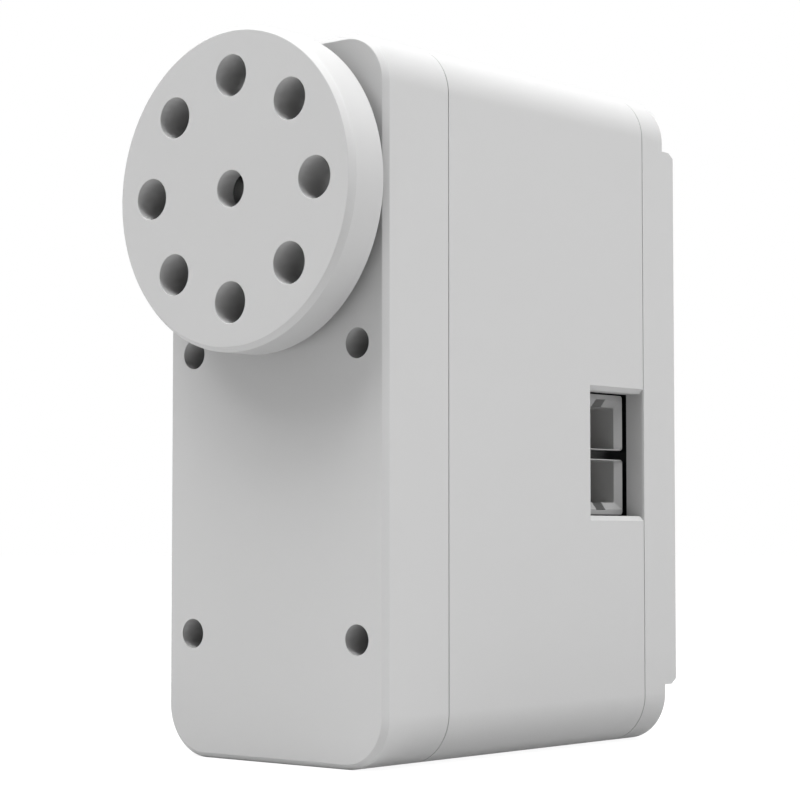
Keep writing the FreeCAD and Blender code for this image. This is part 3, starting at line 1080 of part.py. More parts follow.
def position_sensor():
    """The rotary position sensor, the ring that the shaft turns in it, and its small board."""
    opening = "(sizes.sensor_rotor_radius + sizes.running_clearance)"
    housing = new_body("sensor_housing")
    pad(housing, "sensor_block", SENSOR_FRONT, "sizes.sensor_thickness",
        lambda s: rounded(s, *about("0", "sizes.sensor_width"), *about(OUTPUT_AXIS, "sizes.sensor_height"),
                          "sizes.sensor_corner"))
    pocket(housing, "sensor_opening", SENSOR_FRONT, "sizes.sensor_thickness",
        lambda s: circles(s, [("0", OUTPUT_AXIS)], opening))

    ring = new_body("sensor_rotor")
    start = f"({SENSOR_FRONT} + sizes.seat_gap)"
    length = "(sizes.sensor_thickness - 2 * sizes.seat_gap)"
    bore = "(sizes.tail_radius + sizes.fit_clearance)"
    key = "(sizes.tail_flat + sizes.fit_clearance)"
    pad(ring, "rotor_disc", start, length,
        lambda s: circles(s, [("0", OUTPUT_AXIS)], "sizes.sensor_rotor_radius"))
    pocket(ring, "rotor_bore", start, length, lambda s: circles(s, [("0", OUTPUT_AXIS)], bore))
    within_disc = f"(({bore} + sizes.sensor_rotor_radius) / 2)"
    pad(ring, "rotor_key", start, length,
        lambda s: rectangle(s, f"(-{bore})", bore, key, within_disc))

    board = new_body("sensor_board")
    low = "(-sizes.sensor_board_below)"
    neck = f"({CASE_SCREW_X} - {BOSS_ROOM})"
    shoulder = f"({CASE_SCREW_TOP} - {BOSS_ROOM})"
    right = [(BOARD_SIDE, low), (BOARD_SIDE, shoulder), (neck, shoulder)]
    right += [(neck, "sizes.sensor_board_above")]
    left = [(f"(-{x})", z) for x, z in reversed(right)]
    pad(board, "sensor_board_outline", SENSOR_REAR, "sizes.sensor_board_thickness",
        lambda s: polygon(s, right + left))
    pocket(board, "sensor_board_tail_hole", SENSOR_REAR, "sizes.sensor_board_thickness",
        lambda s: circles(s, [("0", OUTPUT_AXIS)], "sizes.tail_hole_radius"))
    pocket(board, "sensor_board_screw_holes", SENSOR_REAR, "sizes.sensor_board_thickness",
        lambda s: circles(s, SENSOR_SCREWS, "(sizes.small_screw_radius + sizes.screw_clearance)"))


def sensor_leads():
    """The wires from the sensor's board to the main board."""
    wires = []
    for index in range(int(sheet.lead_count)):
        x = f"({index} - (sizes.lead_count - 1) / 2) * sizes.lead_pitch"
        wires.append(rod(f"lead_{index + 1}", "sizes.lead_radius", f"{BOARD_FRONT} - {SENSOR_BOARD_REAR}",
                         x, SENSOR_BOARD_REAR, "sizes.lead_above"))
    return node(together("lead_set", wires), "sensor_leads")


# Main board and sockets


def main_board():
    """The board behind the motor, with slots for the motor's terminals."""
    board = new_body("main_board")
    pad(board, "main_board_outline", BOARD_FRONT, "sizes.board_thickness",
        lambda s: rectangle(s, f"(-{BOARD_SIDE})", BOARD_SIDE, BOARD_BASE, BOARD_TOP))
    pocket(board, "main_board_screw_holes", BOARD_FRONT, "sizes.board_thickness",
        lambda s: circles(s, BOARD_SCREWS, "(sizes.small_screw_radius + sizes.screw_clearance)"))
    slot = "(sizes.terminal_thickness + 2 * sizes.seat_gap)"
    height = "(sizes.terminal_width + 2 * sizes.seat_gap)"

    def terminal_slots(sketch):
        for side in (TERMINAL_X, f"(-{TERMINAL_X})"):
            rectangle(sketch, *about(side, slot), *about(MOTOR_AXIS, height))

    pocket(board, "main_board_slots", BOARD_FRONT, "sizes.board_thickness", terminal_slots)
    return board


def board_parts():
    """The controller and driver chips and the capacitor on the main board."""
    on_board = (f"({BOARD_FRONT} - sizes.chip_thickness)", BOARD_FRONT)
    chip = box("controller_block", (about("(-sizes.controller_across)", "sizes.chip_size"), on_board,
                                    about("(-sizes.controller_below)", "sizes.chip_size")))
    node(chip, "controller_chip")
    chip = box("driver_block", (about("sizes.driver_across", "sizes.driver_width"), on_board,
                                about("(-sizes.driver_below)", "sizes.driver_height")))
    node(chip, "driver_chip")
    front = f"({BOARD_FRONT} - sizes.capacitor_length)"
    radius, edge = "sizes.capacitor_radius", "sizes.capacitor_edge"
    points = [(front, "0"), (front, f"({radius} - {edge})"), (f"({front} + {edge})", radius)]
    points += [(BOARD_FRONT, radius), (BOARD_FRONT, "0")]
    turned_body("capacitor", ("(-sizes.capacitor_across)", "(-sizes.capacitor_below)"), points)


def riser_board():
    """The small board between the two sockets, which stands on the main board."""
    riser = new_body("riser_board")
    front = f"({SOCKET_FRONT} - sizes.riser_front_margin)"
    rear = f"({BOARD_FRONT} - sizes.fit_clearance)"
    inner = f"({SOCKET_BACK} - sizes.riser_side_margin)"
    outer = f"({SOCKET_MOUTH} - sizes.riser_recess)"
    underside = f"({SOCKET_PLANE} - sizes.riser_thickness / 2)"
    feature(riser, "Pad", "riser_outline", "XY_Plane", ("0", "0", underside),
            lambda s: rectangle(s, inner, outer, front, rear), "sizes.riser_thickness")
    return riser


def sockets():
    """The two plug sockets, mirror images about the small board, and their contacts."""
    upper = new_body("upper_socket")
    feature(upper, "Pad", "socket_block", "YZ_Plane", ("0", "0", SOCKET_BACK),
            lambda s: rounded(s, SOCKET_FRONT, SOCKET_REAR, SOCKET_LOW, SOCKET_HIGH, "sizes.socket_corner"),
            "sizes.socket_length")
    front, rear = f"({SOCKET_FRONT} + sizes.socket_wall)", f"({SOCKET_REAR} - sizes.socket_wall)"
    low, high = f"({SOCKET_LOW} + sizes.socket_wall)", f"({SOCKET_HIGH} - sizes.socket_wall)"
    feature(upper, "Pocket", "socket_cavity", "YZ_Plane", ("0", "0", SOCKET_MOUTH),
            lambda s: rectangle(s, front, rear, low, high), "(sizes.socket_length - sizes.socket_floor)")
    latch_front = f"({SOCKET_FRONT} + sizes.latch_behind)"
    latch_rear = f"({latch_front} + sizes.latch_width)"
    above = f"({SOCKET_HIGH} + sizes.socket_wall)"
    feature(upper, "Pocket", "latch_notch", "YZ_Plane", ("0", "0", SOCKET_MOUTH),
            lambda s: rectangle(s, latch_front, latch_rear, high, above), "sizes.latch_depth")
    lower = mirrored(upper, "lower_socket_image", UPRIGHT, SOCKET_PLANE)
    node(lower, "lower_socket")

    pins = []
    middle = f"(({SOCKET_FRONT} + {SOCKET_REAR}) / 2)"
    height = f"(({SOCKET_LOW} + {SOCKET_HIGH}) / 2)"
    floor = f"({SOCKET_BACK} + sizes.socket_floor)"
    for index in range(int(sheet.contact_count)):
        place = f"({middle} + ({index} - (sizes.contact_count - 1) / 2) * sizes.contact_pitch)"
        pins.append(box(f"contact_{index + 1}", (
            (floor, f"({floor} + sizes.contact_stand)"), about(place, "sizes.contact_size"),
            about(height, "sizes.contact_size"))))
    upper_pins = together("upper_contacts", pins)
    lower_pins = mirrored(upper_pins, "lower_contacts", UPRIGHT, SOCKET_PLANE)
    return node(together("contact_set", [upper_pins, lower_pins]), "socket_contacts")


front_case()
middle_case()
rear_cover()
case_screws()
inner_screws()
output_horn()
output_shaft()
bearing()
shaft_bush_and_spacer()
gear_train()
gear_pins()
motor()
position_sensor()
sensor_leads()
main_board()
board_parts()
riser_board()
sockets()

# Checks and export

doc.recompute()
failed = [item.Name for item in doc.Objects if {"Invalid", "Error"} & set(item.State)]
if failed:
    raise RuntimeError(f"failed objects: {failed}")
for item in NODES:
    if item.Shape.isNull() or not item.Shape.isValid() or not item.Shape.Solids:
        raise RuntimeError(f"bad shape: {item.Label}")

os.makedirs("parts", exist_ok=True)
for item in NODES:
    item.Shape.exportStep(f"parts/{item.Label}.step")
    print(item.Label, len(item.Shape.Solids), round(item.Shape.Volume, 3))
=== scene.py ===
import json
import math

import bmesh
import bpy
import numpy as np
from mathutils import Matrix, Vector
from mathutils.geometry import delaunay_2d_cdt


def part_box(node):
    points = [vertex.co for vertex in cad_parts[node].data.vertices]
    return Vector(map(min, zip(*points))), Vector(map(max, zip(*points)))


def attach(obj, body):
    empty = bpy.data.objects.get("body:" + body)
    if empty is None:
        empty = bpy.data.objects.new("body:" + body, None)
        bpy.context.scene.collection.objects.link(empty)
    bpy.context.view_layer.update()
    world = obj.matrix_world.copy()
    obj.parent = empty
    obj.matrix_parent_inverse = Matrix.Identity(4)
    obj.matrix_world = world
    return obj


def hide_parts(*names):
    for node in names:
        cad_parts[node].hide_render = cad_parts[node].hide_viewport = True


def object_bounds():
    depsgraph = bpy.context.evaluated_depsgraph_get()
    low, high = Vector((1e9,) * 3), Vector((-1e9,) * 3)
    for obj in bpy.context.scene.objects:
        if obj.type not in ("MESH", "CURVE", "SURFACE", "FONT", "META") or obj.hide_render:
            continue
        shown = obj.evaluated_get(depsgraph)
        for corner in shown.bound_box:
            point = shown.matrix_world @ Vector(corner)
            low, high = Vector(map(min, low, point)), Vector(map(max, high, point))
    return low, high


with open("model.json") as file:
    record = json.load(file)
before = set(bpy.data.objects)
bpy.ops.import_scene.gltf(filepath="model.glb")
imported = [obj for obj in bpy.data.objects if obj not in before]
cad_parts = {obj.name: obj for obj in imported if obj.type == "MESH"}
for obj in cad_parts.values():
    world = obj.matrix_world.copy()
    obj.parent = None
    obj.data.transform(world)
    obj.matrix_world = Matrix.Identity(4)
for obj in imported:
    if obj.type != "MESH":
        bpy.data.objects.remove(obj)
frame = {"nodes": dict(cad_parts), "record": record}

bl_info = {
    "name": "Serial bus servo",
    "version": (1, 0, 0),
    "blender": (4, 5, 0),
    "location": "3D View > Sidebar > Servo",
    "description": "Builds the visible shells, horn, sockets and screws of a serial bus servo",
    "category": "Object",
}

# Lengths in the functions are millimetres. A mesh gets them in metres.

MM = 0.001
CAD_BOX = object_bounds()

# Vertices that are nearer than WELD, in metres, become one. Points nearer to an outline than
# TOUCHING are on it, and those nearer to a corner than END_SHARE of an edge are the corner.
# NET_GAP is the same for the points of a net.

WELD = 2e-7
TOUCHING = 1e-4
END_SHARE = 1e-3
NET_GAP = 1e-6

# Faces that meet at less than FLAT_ANGLE become one, and at more than SHARP_ANGLE the edge shows

FLAT_ANGLE = math.radians(0.05)
SHARP_ANGLE = math.radians(32)

HORN_HOLES = 8
SPLINE_TEETH = 25
CONTACTS_PER_SOCKET = 3
SCREW_STEPS = 64
SCREW_DOME_ROWS = 30
SCREW_THREAD_ROWS = 180


def corners_of(node):
    """The lowest and highest corners of a node of the frame, in millimetres."""
    low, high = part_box(node)
    return np.array(low) / MM, np.array(high) / MM


def axis_of(*nodes):
    """The x and z of the line along Y through the middle of each node."""
    middles = [sum(corners_of(node)) / 2 for node in nodes]
    return np.array(middles)[:, [0, 2]]


# Outlines: closed lines of points in the plane of a section, counterclockwise


def circle(centre, radius, steps):
    """Points at equal angles: centre plus radius times the cosine and the sine of the angle."""
    angle = np.arange(steps) * 2 * np.pi / steps
    return np.asarray(centre) + radius * np.stack([np.cos(angle), np.sin(angle)], -1)


def rounded(low, high, radius, steps):
    """A rectangle with round corners: four quarter circles whose centres lie one radius inside
    its corners, joined by straights."""
    low, high = np.asarray(low, float), np.asarray(high, float)
    angle = (np.arange(4)[:, None] + np.linspace(0, 1, steps + 1)) * np.pi / 2
    signs = np.array([[1, 1], [-1, 1], [-1, -1], [1, -1]])
    centres = np.where(signs > 0, high - radius, low + radius)[:, None]
    return (centres + radius * np.stack([np.cos(angle), np.sin(angle)], -1)).reshape(-1, 2)


def star(tip, root, teeth):
    """A toothed outline whose points lie at the tip and the root radius by turns."""
    angle = np.arange(2 * teeth) * np.pi / teeth
    radius = np.where(np.arange(2 * teeth) % 2 == 0, tip, root)[:, None]
    return (radius * np.stack([np.sin(angle), np.cos(angle)], -1))[::-1]


def notched(low, high, width, height, radius, steps):
    """A rectangle with a notch in each corner, width by height, whose inner corner is a quarter
    circle. One corner's points are distances from that corner, and the others mirror them."""
    angle = np.linspace(0, np.pi / 2, steps + 1)
    bend = (width, height) + radius * (np.stack([np.sin(angle), np.cos(angle)], -1) - 1)
    corner = np.concatenate([[[0, height]], bend, [[width, 0]]])
    signs = np.array([[1, 1], [-1, 1], [-1, -1], [1, -1]])
    spots = np.where(signs > 0, high, low)
    return np.concatenate([spot - sign * corner[::sign[0] * sign[1]] for sign, spot in zip(signs, spots)])


def kept_within(outline, low, high, radius):
    """The outline with the points outside a rectangle with round corners drawn straight back to
    it: each stays on the line to the nearest point of the rectangle of the corners' centres."""
    nearest = np.clip(outline, low + radius, high - radius)
    away = outline - nearest
    distance = np.maximum(np.linalg.norm(away, axis=1, keepdims=True), WELD)
    return nearest + away * np.minimum(radius / distance, 1)


def carried(outline, shifts, points):
    """How far each point moves with an outline. A corner's points move by its shift. Points
    between two corners move by both shifts, each in the share of its nearness, but only across
    the edge. Points off the outline stay. Also says which points are on it."""
    run = np.roll(outline, -1, 0) - outline
    share = (((points[:, None] - outline) * run).sum(2) / (run ** 2).sum(1)).clip(0, 1)
    away = np.linalg.norm(points[:, None] - outline - share[..., None] * run, axis=2)
    start = away.argmin(1)
    share = np.take_along_axis(share, start[:, None], 1)
    ahead = (start + 1) % len(outline)
    moved = (1 - share) * shifts[:, start] + share * shifts[:, ahead]
    along = run[start] / np.linalg.norm(run[start], axis=1, keepdims=True)
    slip = (moved * along).sum(2, keepdims=True) * along
    moved = moved - np.where((share > END_SHARE) & (share < 1 - END_SHARE), slip, 0)
    touched = away.min(1) < TOUCHING
    return np.where(touched[:, None], moved, 0), touched


def grown(outline, amounts):
    """How far each point moves at each level when the outline grows by that level's amount: along
    the sum of the normals of its two edges over one plus their dot product."""
    along = np.roll(outline, -1, 0) - outline
    along /= np.linalg.norm(along, axis=1, keepdims=True)
    normal = np.stack([along[:, 1], -along[:, 0]], -1)
    before = np.roll(normal, 1, 0)
    mitre = (normal + before) / (1 + np.sum(normal * before, 1, keepdims=True))
    return np.asarray(amounts)[:, None, None] * mitre


def eased(corners, soft):
    """A line of depth and growth in which a curve replaces each inner corner: the point at t is
    (1 - t) squared of its start, 2 t (1 - t) of the corner and t squared of its end."""
    corners = np.asarray(corners, float)
    middle = corners[1:-1]
    back, ahead = corners[:-2] - middle, corners[2:] - middle
    start = middle + soft * back / np.linalg.norm(back, axis=1, keepdims=True)
    end = middle + soft * ahead / np.linalg.norm(ahead, axis=1, keepdims=True)
    t = np.linspace(0, 1, 4)[:, None, None]
    curve = (1 - t) ** 2 * start + 2 * t * (1 - t) * middle + t ** 2 * end
    return curve.transpose(1, 0, 2).reshape(-1, 2)


def edge(depth, across, deep, soft, into):
    """The growth of an outline near an edge of the piece at a depth: a chamfer, across by deep,
    with softened corners. Into is 1 where the piece lies behind the edge and -1 where it lies in
    front, and a negative across makes the mouth of a hole wider."""
    side = math.copysign(1, across)
    reach = deep + 2 * soft
    corners = [(0, -across - side * reach), (0, -across), (deep, 0), (deep + reach, 0)]
    if deep == 0:
        corners = [(0, -side * reach), (0, 0), (reach, 0)]
    line = eased(corners, soft) * (into, 1) + (depth, 0)
    return line[::into]


def hole_mouth(depth, soft, into):
    """The growth of a hole near its mouth at a depth: that of a plain edge, turned round."""
    return edge(depth, 0, 0, soft, into) * (1, -1)


def within_circle(places, radius, u, v):
    """Whether points lie inside any of some circles of one radius."""
    du, dv = u - np.asarray(places)[:, :1], v - np.asarray(places)[:, 1:]
    return (du ** 2 + dv ** 2 < radius ** 2).any(0)


def within_rounded(low, high, radius, u, v):
    """Whether points lie inside a rectangle with round corners: how far they pass the rectangle
    of the corners' centres is under the radius."""
    du = np.maximum(np.maximum(low[0] + radius - u, u - high[0] + radius), 0)
    dv = np.maximum(np.maximum(low[1] + radius - v, v - high[1] + radius), 0)
    return du ** 2 + dv ** 2 < radius ** 2


# Surfaces


def slabs(levels, outlines, filled, upright, inward=None):
    """The skin of a solid that is cut into slabs at levels. One net of triangles covers every
    outline of every slab. Filled says of each triangle's middle whether it is solid in a slab. A
    face lies wherever solid meets open: the triangle between two slabs, and a wall between two
    triangles. An outline's change moves its points at each level. Inward gives the moves of the
    points that are on no outline with a change. Points that no face needs are left out."""
    levels = np.asarray(levels)
    points = np.concatenate([outline for outline, _ in outlines])
    counts = np.array([len(outline) for outline, _ in outlines])
    following = np.arange(len(points)) + 1
    following[np.cumsum(counts) - 1] -= counts
    edges = np.stack([np.arange(len(points)), following], 1)
    net = delaunay_2d_cdt(points.tolist(), edges.tolist(), [], 0, NET_GAP, True)
    flat, triangles = np.array(net[0]), np.array(net[2])
    size = len(flat)
    place = np.repeat(flat[None], len(levels), 0)
    free = np.ones(size, bool)
    for outline, change in outlines:
        if change is not None:
            amounts = change if np.ndim(change) == 3 else grown(
                outline, np.interp(levels, change[:, 0], change[:, 1]))
            moved, touched = carried(outline, amounts, flat)
            place += moved
            free &= ~touched
    if inward is not None:
        place += np.where(free[:, None], inward(flat), 0)

    a, b, c = flat[triangles].transpose(1, 0, 2)
    turn = (b - a)[:, 0] * (c - a)[:, 1] - (b - a)[:, 1] * (c - a)[:, 0]
    triangles[turn < 0] = triangles[turn < 0][:, ::-1]
    u, v = flat[triangles].mean(1).T
    middles = (levels[1:] + levels[:-1]) / 2
    solid = np.array([filled(u, v, middle) for middle in middles])
    below, above = np.pad(solid, ((1, 0), (0, 0))), np.pad(solid, ((0, 1), (0, 0)))

    level, which = np.nonzero(above & ~below)
    starts = triangles[which][:, ::-1] + level[:, None] * size
    level, which = np.nonzero(below & ~above)
    stops = triangles[which] + level[:, None] * size

    tail, head = triangles.ravel(), np.roll(triangles, -1, 1).ravel()
    owner = np.repeat(np.arange(len(triangles)), 3)
    order = np.argsort(tail * size + head)
    code = (tail * size + head)[order]
    spot = np.searchsorted(code, head * size + tail).clip(max=len(code) - 1)
    beside = np.where(code[spot] == head * size + tail, owner[order][spot], -1)
    open_beside = ~np.pad(solid, ((0, 0), (0, 1)))[:, beside]
    level, which = np.nonzero(solid[:, owner] & open_beside)
    low = level * size
    walls = np.stack([tail[which] + low, head[which] + low,
                      head[which] + low + size, tail[which] + low + size], 1)

    kinds = (starts, stops, walls)
    used = np.unique(np.concatenate([kind.ravel() for kind in kinds]))
    faces = [face for kind in kinds for face in np.searchsorted(used, kind).tolist()]
    u, v = place.reshape(-1, 2)[used].T
    w = np.repeat(levels, size)[used]
    vertices = np.stack([w, u, v] if upright == "x" else [u, w, v], 1)
    return vertices, faces if upright == "x" else [face[::-1] for face in faces]


def turned(rows):
    """The skin of a piece turned about an axis: rows of points round it, each row joined to the
    next, and closed at both ends because the first and last rows are single points."""
    count, steps, _ = rows.shape
    row = np.arange(count - 1)[:, None] * steps
    column = np.arange(steps)
    following = (column + 1) % steps
    quads = np.stack([row + column, row + following, row + steps + following, row + steps + column], -1)
    return rows.reshape(-1, 3), quads.reshape(-1, 4).tolist()


def joined(parts):
    """Several skins as one."""
    offsets = np.cumsum([0] + [len(vertices) for vertices, _ in parts])
    faces = [[index + offset for index in face] for (_, some), offset in zip(parts, offsets) for face in some]
    return np.concatenate([vertices for vertices, _ in parts]), faces


def piece(name, skin, material, body, slot, *nodes):
    """A finished piece: doubles merged, flat areas made single faces and normals weighted by
    area, so that a curve meets a flat without a shade."""
    vertices, faces = skin
    mesh = bpy.data.meshes.new(name)
    mesh.from_pydata((vertices * MM).tolist(), [], faces)
    work = bmesh.new()
    work.from_mesh(mesh)
    bmesh.ops.remove_doubles(work, verts=work.verts, dist=WELD)
    bmesh.ops.dissolve_degenerate(work, edges=work.edges, dist=WELD)
    bmesh.ops.dissolve_limit(work, angle_limit=FLAT_ANGLE, verts=work.verts, edges=work.edges)
    work.to_mesh(mesh)
    work.free()
    mesh.shade_smooth()
    mesh.set_sharp_from_angle(angle=SHARP_ANGLE)
    mesh.materials.append(material)
    item = bpy.data.objects.new(name, mesh)
    bpy.context.scene.collection.objects.link(item)
    even = item.modifiers.new("even_shading", "WEIGHTED_NORMAL")
    even.keep_sharp = True
    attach(item, body)
    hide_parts(*nodes)
    return item


# Shader node groups that several finishes share


def add(tree, kind, **values):
    """A node of a tree, with its properties set by name and its inputs by in_ and a number."""
    item = tree.nodes.new(kind)
    for key, value in values.items():
        if key.startswith("in_"):
            item.inputs[int(key[3:])].default_value = value
        else:
            setattr(item, key, value)
    return item


def chain(tree, start, *steps):
    """Links an output through nodes, each into its first input, and gives the last output."""
    for step in steps:
        tree.links.new(start, step.inputs[0])
        start = step.outputs[0]
    return start


def colour_mix(tree, factor, first, second, blend="MIX"):
    """The output of a mix of two colours, each of which is an output or a plain colour."""
    mix = add(tree, "ShaderNodeMix", data_type="RGBA", blend_type=blend)
    tree.links.new(factor, mix.inputs[0])
    ends = [socket for socket in mix.inputs if socket.type == "RGBA"]
    for socket, value in zip(ends, (first, second)):
        if isinstance(value, bpy.types.NodeSocket):
            tree.links.new(value, socket)
        else:
            socket.default_value = value
    return next(socket for socket in mix.outputs if socket.type == "RGBA")


def shared_group(name, inputs, outputs):
    """An empty node group with a vector input, number inputs and number outputs."""
    group = bpy.data.node_groups.new(name, "ShaderNodeTree")
    group.interface.new_socket("Vector", in_out="INPUT", socket_type="NodeSocketVector")
    for label, value in inputs:
        socket = group.interface.new_socket(label, in_out="INPUT", socket_type="NodeSocketFloat")
        socket.default_value = value
    for label in outputs:
        group.interface.new_socket(label, in_out="OUTPUT", socket_type="NodeSocketFloat")
    return group, group.nodes.new("NodeGroupInput"), group.nodes.new("NodeGroupOutput")


def moulded_grain():
    """The matt skin of a moulding: a fine spark-eroded texture as height, a slow mottle as shade,
    and both together as roughness round a middle value."""
    group, given, out = shared_group(
        "moulded_grain", [("Grain", 9000.0), ("Mottle", 120.0), ("Middle", 0.5), ("Spread", 0.1)],
        ["Height", "Shade", "Roughness"])
    fine = add(group, "ShaderNodeTexNoise", in_3=3.0, in_4=0.62)
    slow = add(group, "ShaderNodeTexNoise", in_3=2.0, in_4=0.5)
    for item, scale in ((fine, "Grain"), (slow, "Mottle")):
        group.links.new(given.outputs["Vector"], item.inputs["Vector"])
        group.links.new(given.outputs[scale], item.inputs["Scale"])
    both = add(group, "ShaderNodeMath", operation="ADD")
    group.links.new(fine.outputs[0], both.inputs[0])
    group.links.new(slow.outputs[0], both.inputs[1])
    centred = add(group, "ShaderNodeMath", operation="SUBTRACT", in_1=1.0)
    rough = add(group, "ShaderNodeMath", operation="MULTIPLY_ADD")
    chain(group, both.outputs[0], centred, rough)
    group.links.new(given.outputs["Spread"], rough.inputs[1])
    group.links.new(given.outputs["Middle"], rough.inputs[2])
    group.links.new(fine.outputs[0], out.inputs["Height"])
    group.links.new(slow.outputs[0], out.inputs["Shade"])
    group.links.new(rough.outputs[0], out.inputs["Roughness"])
    return group


def turning_marks():
    """The marks of a lathe about the Y axis: one noise of the distance from the axis and one of
    the place along it give fine rings, and their mean is both height and shade."""
    group, given, out = shared_group(
        "turning_marks", [("Pitch", 24000.0), ("Middle", 0.3), ("Spread", 0.2)],
        ["Height", "Roughness"])
    parts = add(group, "ShaderNodeSeparateXYZ")
    group.links.new(given.outputs["Vector"], parts.inputs[0])
    flat = add(group, "ShaderNodeCombineXYZ")
    group.links.new(parts.outputs["X"], flat.inputs["X"])
    group.links.new(parts.outputs["Z"], flat.inputs["Z"])
    radius = add(group, "ShaderNodeVectorMath", operation="LENGTH")
    group.links.new(flat.outputs[0], radius.inputs[0])
    marks = []
    for source in (radius.outputs["Value"], parts.outputs["Y"]):
        ring = add(group, "ShaderNodeTexNoise", noise_dimensions="1D", in_3=2.0)
        group.links.new(source, ring.inputs["W"])
        group.links.new(given.outputs["Pitch"], ring.inputs["Scale"])
        marks.append(ring)
    mean = add(group, "ShaderNodeMath", operation="MULTIPLY_ADD", in_1=0.5)
    half = add(group, "ShaderNodeMath", operation="MULTIPLY", in_1=0.5)
    chain(group, marks[0].outputs[0], half)
    chain(group, marks[1].outputs[0], mean)
    group.links.new(half.outputs[0], mean.inputs[2])
    rough = add(group, "ShaderNodeMath", operation="MULTIPLY_ADD")
    chain(group, mean.outputs[0], rough)
    group.links.new(given.outputs["Spread"], rough.inputs[1])
    group.links.new(given.outputs["Middle"], rough.inputs[2])
    group.links.new(mean.outputs[0], out.inputs["Height"])
    group.links.new(rough.outputs[0], out.inputs["Roughness"])
    return group


def layered_bands():
    """Fine bands across the Y axis, bent a little by noise: sheets of a stack or turns of wire.
    The band is a smooth wave of the place along Y, and its shade is a second, slower noise."""
    group, given, out = shared_group(
        "layered_bands", [("Bands", 900.0), ("Bend", 0.6), ("Middle", 0.4), ("Spread", 0.2)],
        ["Height", "Shade", "Roughness"])
    wave = add(group, "ShaderNodeTexWave", bands_direction="Y", in_3=1.0)
    tint = add(group, "ShaderNodeTexNoise", in_2=700.0)
    for item in (wave, tint):
        group.links.new(given.outputs["Vector"], item.inputs["Vector"])
    group.links.new(given.outputs["Bands"], wave.inputs["Scale"])
    group.links.new(given.outputs["Bend"], wave.inputs["Distortion"])
    rough = add(group, "ShaderNodeMath", operation="MULTIPLY_ADD")
    chain(group, tint.outputs[0], rough)
    group.links.new(given.outputs["Spread"], rough.inputs[1])
    group.links.new(given.outputs["Middle"], rough.inputs[2])
    group.links.new(wave.outputs["Fac"], out.inputs["Height"])
    group.links.new(tint.outputs[0], out.inputs["Shade"])
    group.links.new(rough.outputs[0], out.inputs["Roughness"])
    return group


# Finishes


def finish_of(name, group, values, colour, variation, metallic, bump, centre=(0, 0), coat=0.0, shaded_bounce=1.0):
    """A material on one of the shared groups. Its colour runs a little darker and lighter with the
    group's shade, its roughness is the group's, and its height is a bump of a depth in metres.
    Shaded_bounce is the share of its colour that bounced light sees, and a low one paints shade into holes
    and crevices."""
    material = bpy.data.materials.new(name)
    material.use_nodes = True
    tree = material.node_tree
    shader = tree.nodes["Principled BSDF"]
    shader.inputs["Metallic"].default_value = metallic
    shader.inputs["Coat Weight"].default_value = coat
    where = add(tree, "ShaderNodeTexCoord")
    mapping = add(tree, "ShaderNodeMapping")
    mapping.inputs["Location"].default_value = (-centre[0] * MM, 0, -centre[1] * MM)
    texture = add(tree, "ShaderNodeGroup", node_tree=group)
    chain(tree, where.outputs["Object"], mapping, texture)
    for label, value in values.items():
        texture.inputs[label].default_value = value
    darker, lighter = ([min(channel * factor, 1.0) for channel in colour[:3]]
                       for factor in (1 - variation, 1 + variation))
    mask = texture.outputs["Shade" if "Shade" in texture.outputs else "Height"]
    tint = colour_mix(tree, mask, (*darker, 1), (*lighter, 1))
    # Painted shade: bounced light sees a darker colour, so holes and crevices come out darker than the lamps
    # alone make them
    if shaded_bounce < 1:
        path = add(tree, "ShaderNodeLightPath")
        tint = colour_mix(tree, path.outputs["Is Diffuse Ray"], tint, (shaded_bounce, shaded_bounce, shaded_bounce, 1), "MULTIPLY")
    tree.links.new(tint, shader.inputs["Base Color"])
    tree.links.new(texture.outputs["Roughness"], shader.inputs["Roughness"])
    relief = add(tree, "ShaderNodeBump")
    relief.inputs["Strength"].default_value = 1.0
    relief.inputs["Distance"].default_value = bump
    tree.links.new(texture.outputs["Height"], relief.inputs["Height"])
    tree.links.new(relief.outputs[0], shader.inputs["Normal"])
    return material


def board_finish(name, group, mask, track):
    """Solder mask over copper tracks: a brick pattern whose joints are the tracks, a little
    lighter than the mask between them."""
    material = finish_of(name, group, {"Grain": 6000.0, "Middle": 0.32}, mask, 0.05, 0.0, 2e-6, coat=0.3)
    tree = material.node_tree
    base = tree.nodes["Principled BSDF"].inputs["Base Color"]
    where = next(item for item in tree.nodes if item.bl_idname == "ShaderNodeMapping")
    swapped = add(tree, "ShaderNodeMapping")
    swapped.inputs["Rotation"].default_value = (math.pi / 2, 0, 0)
    tracks = add(tree, "ShaderNodeTexBrick", offset=0.37, squash=0.8)
    chain(tree, where.outputs[0], swapped, tracks)
    tracks.inputs["Scale"].default_value = 420.0
    tracks.inputs["Mortar Size"].default_value = 0.045
    tracks.inputs["Mortar Smooth"].default_value = 0.2
    tree.links.new(colour_mix(tree, tracks.outputs["Fac"], base.links[0].from_socket, tuple(track)), base)
    return material


FINISHES = {}


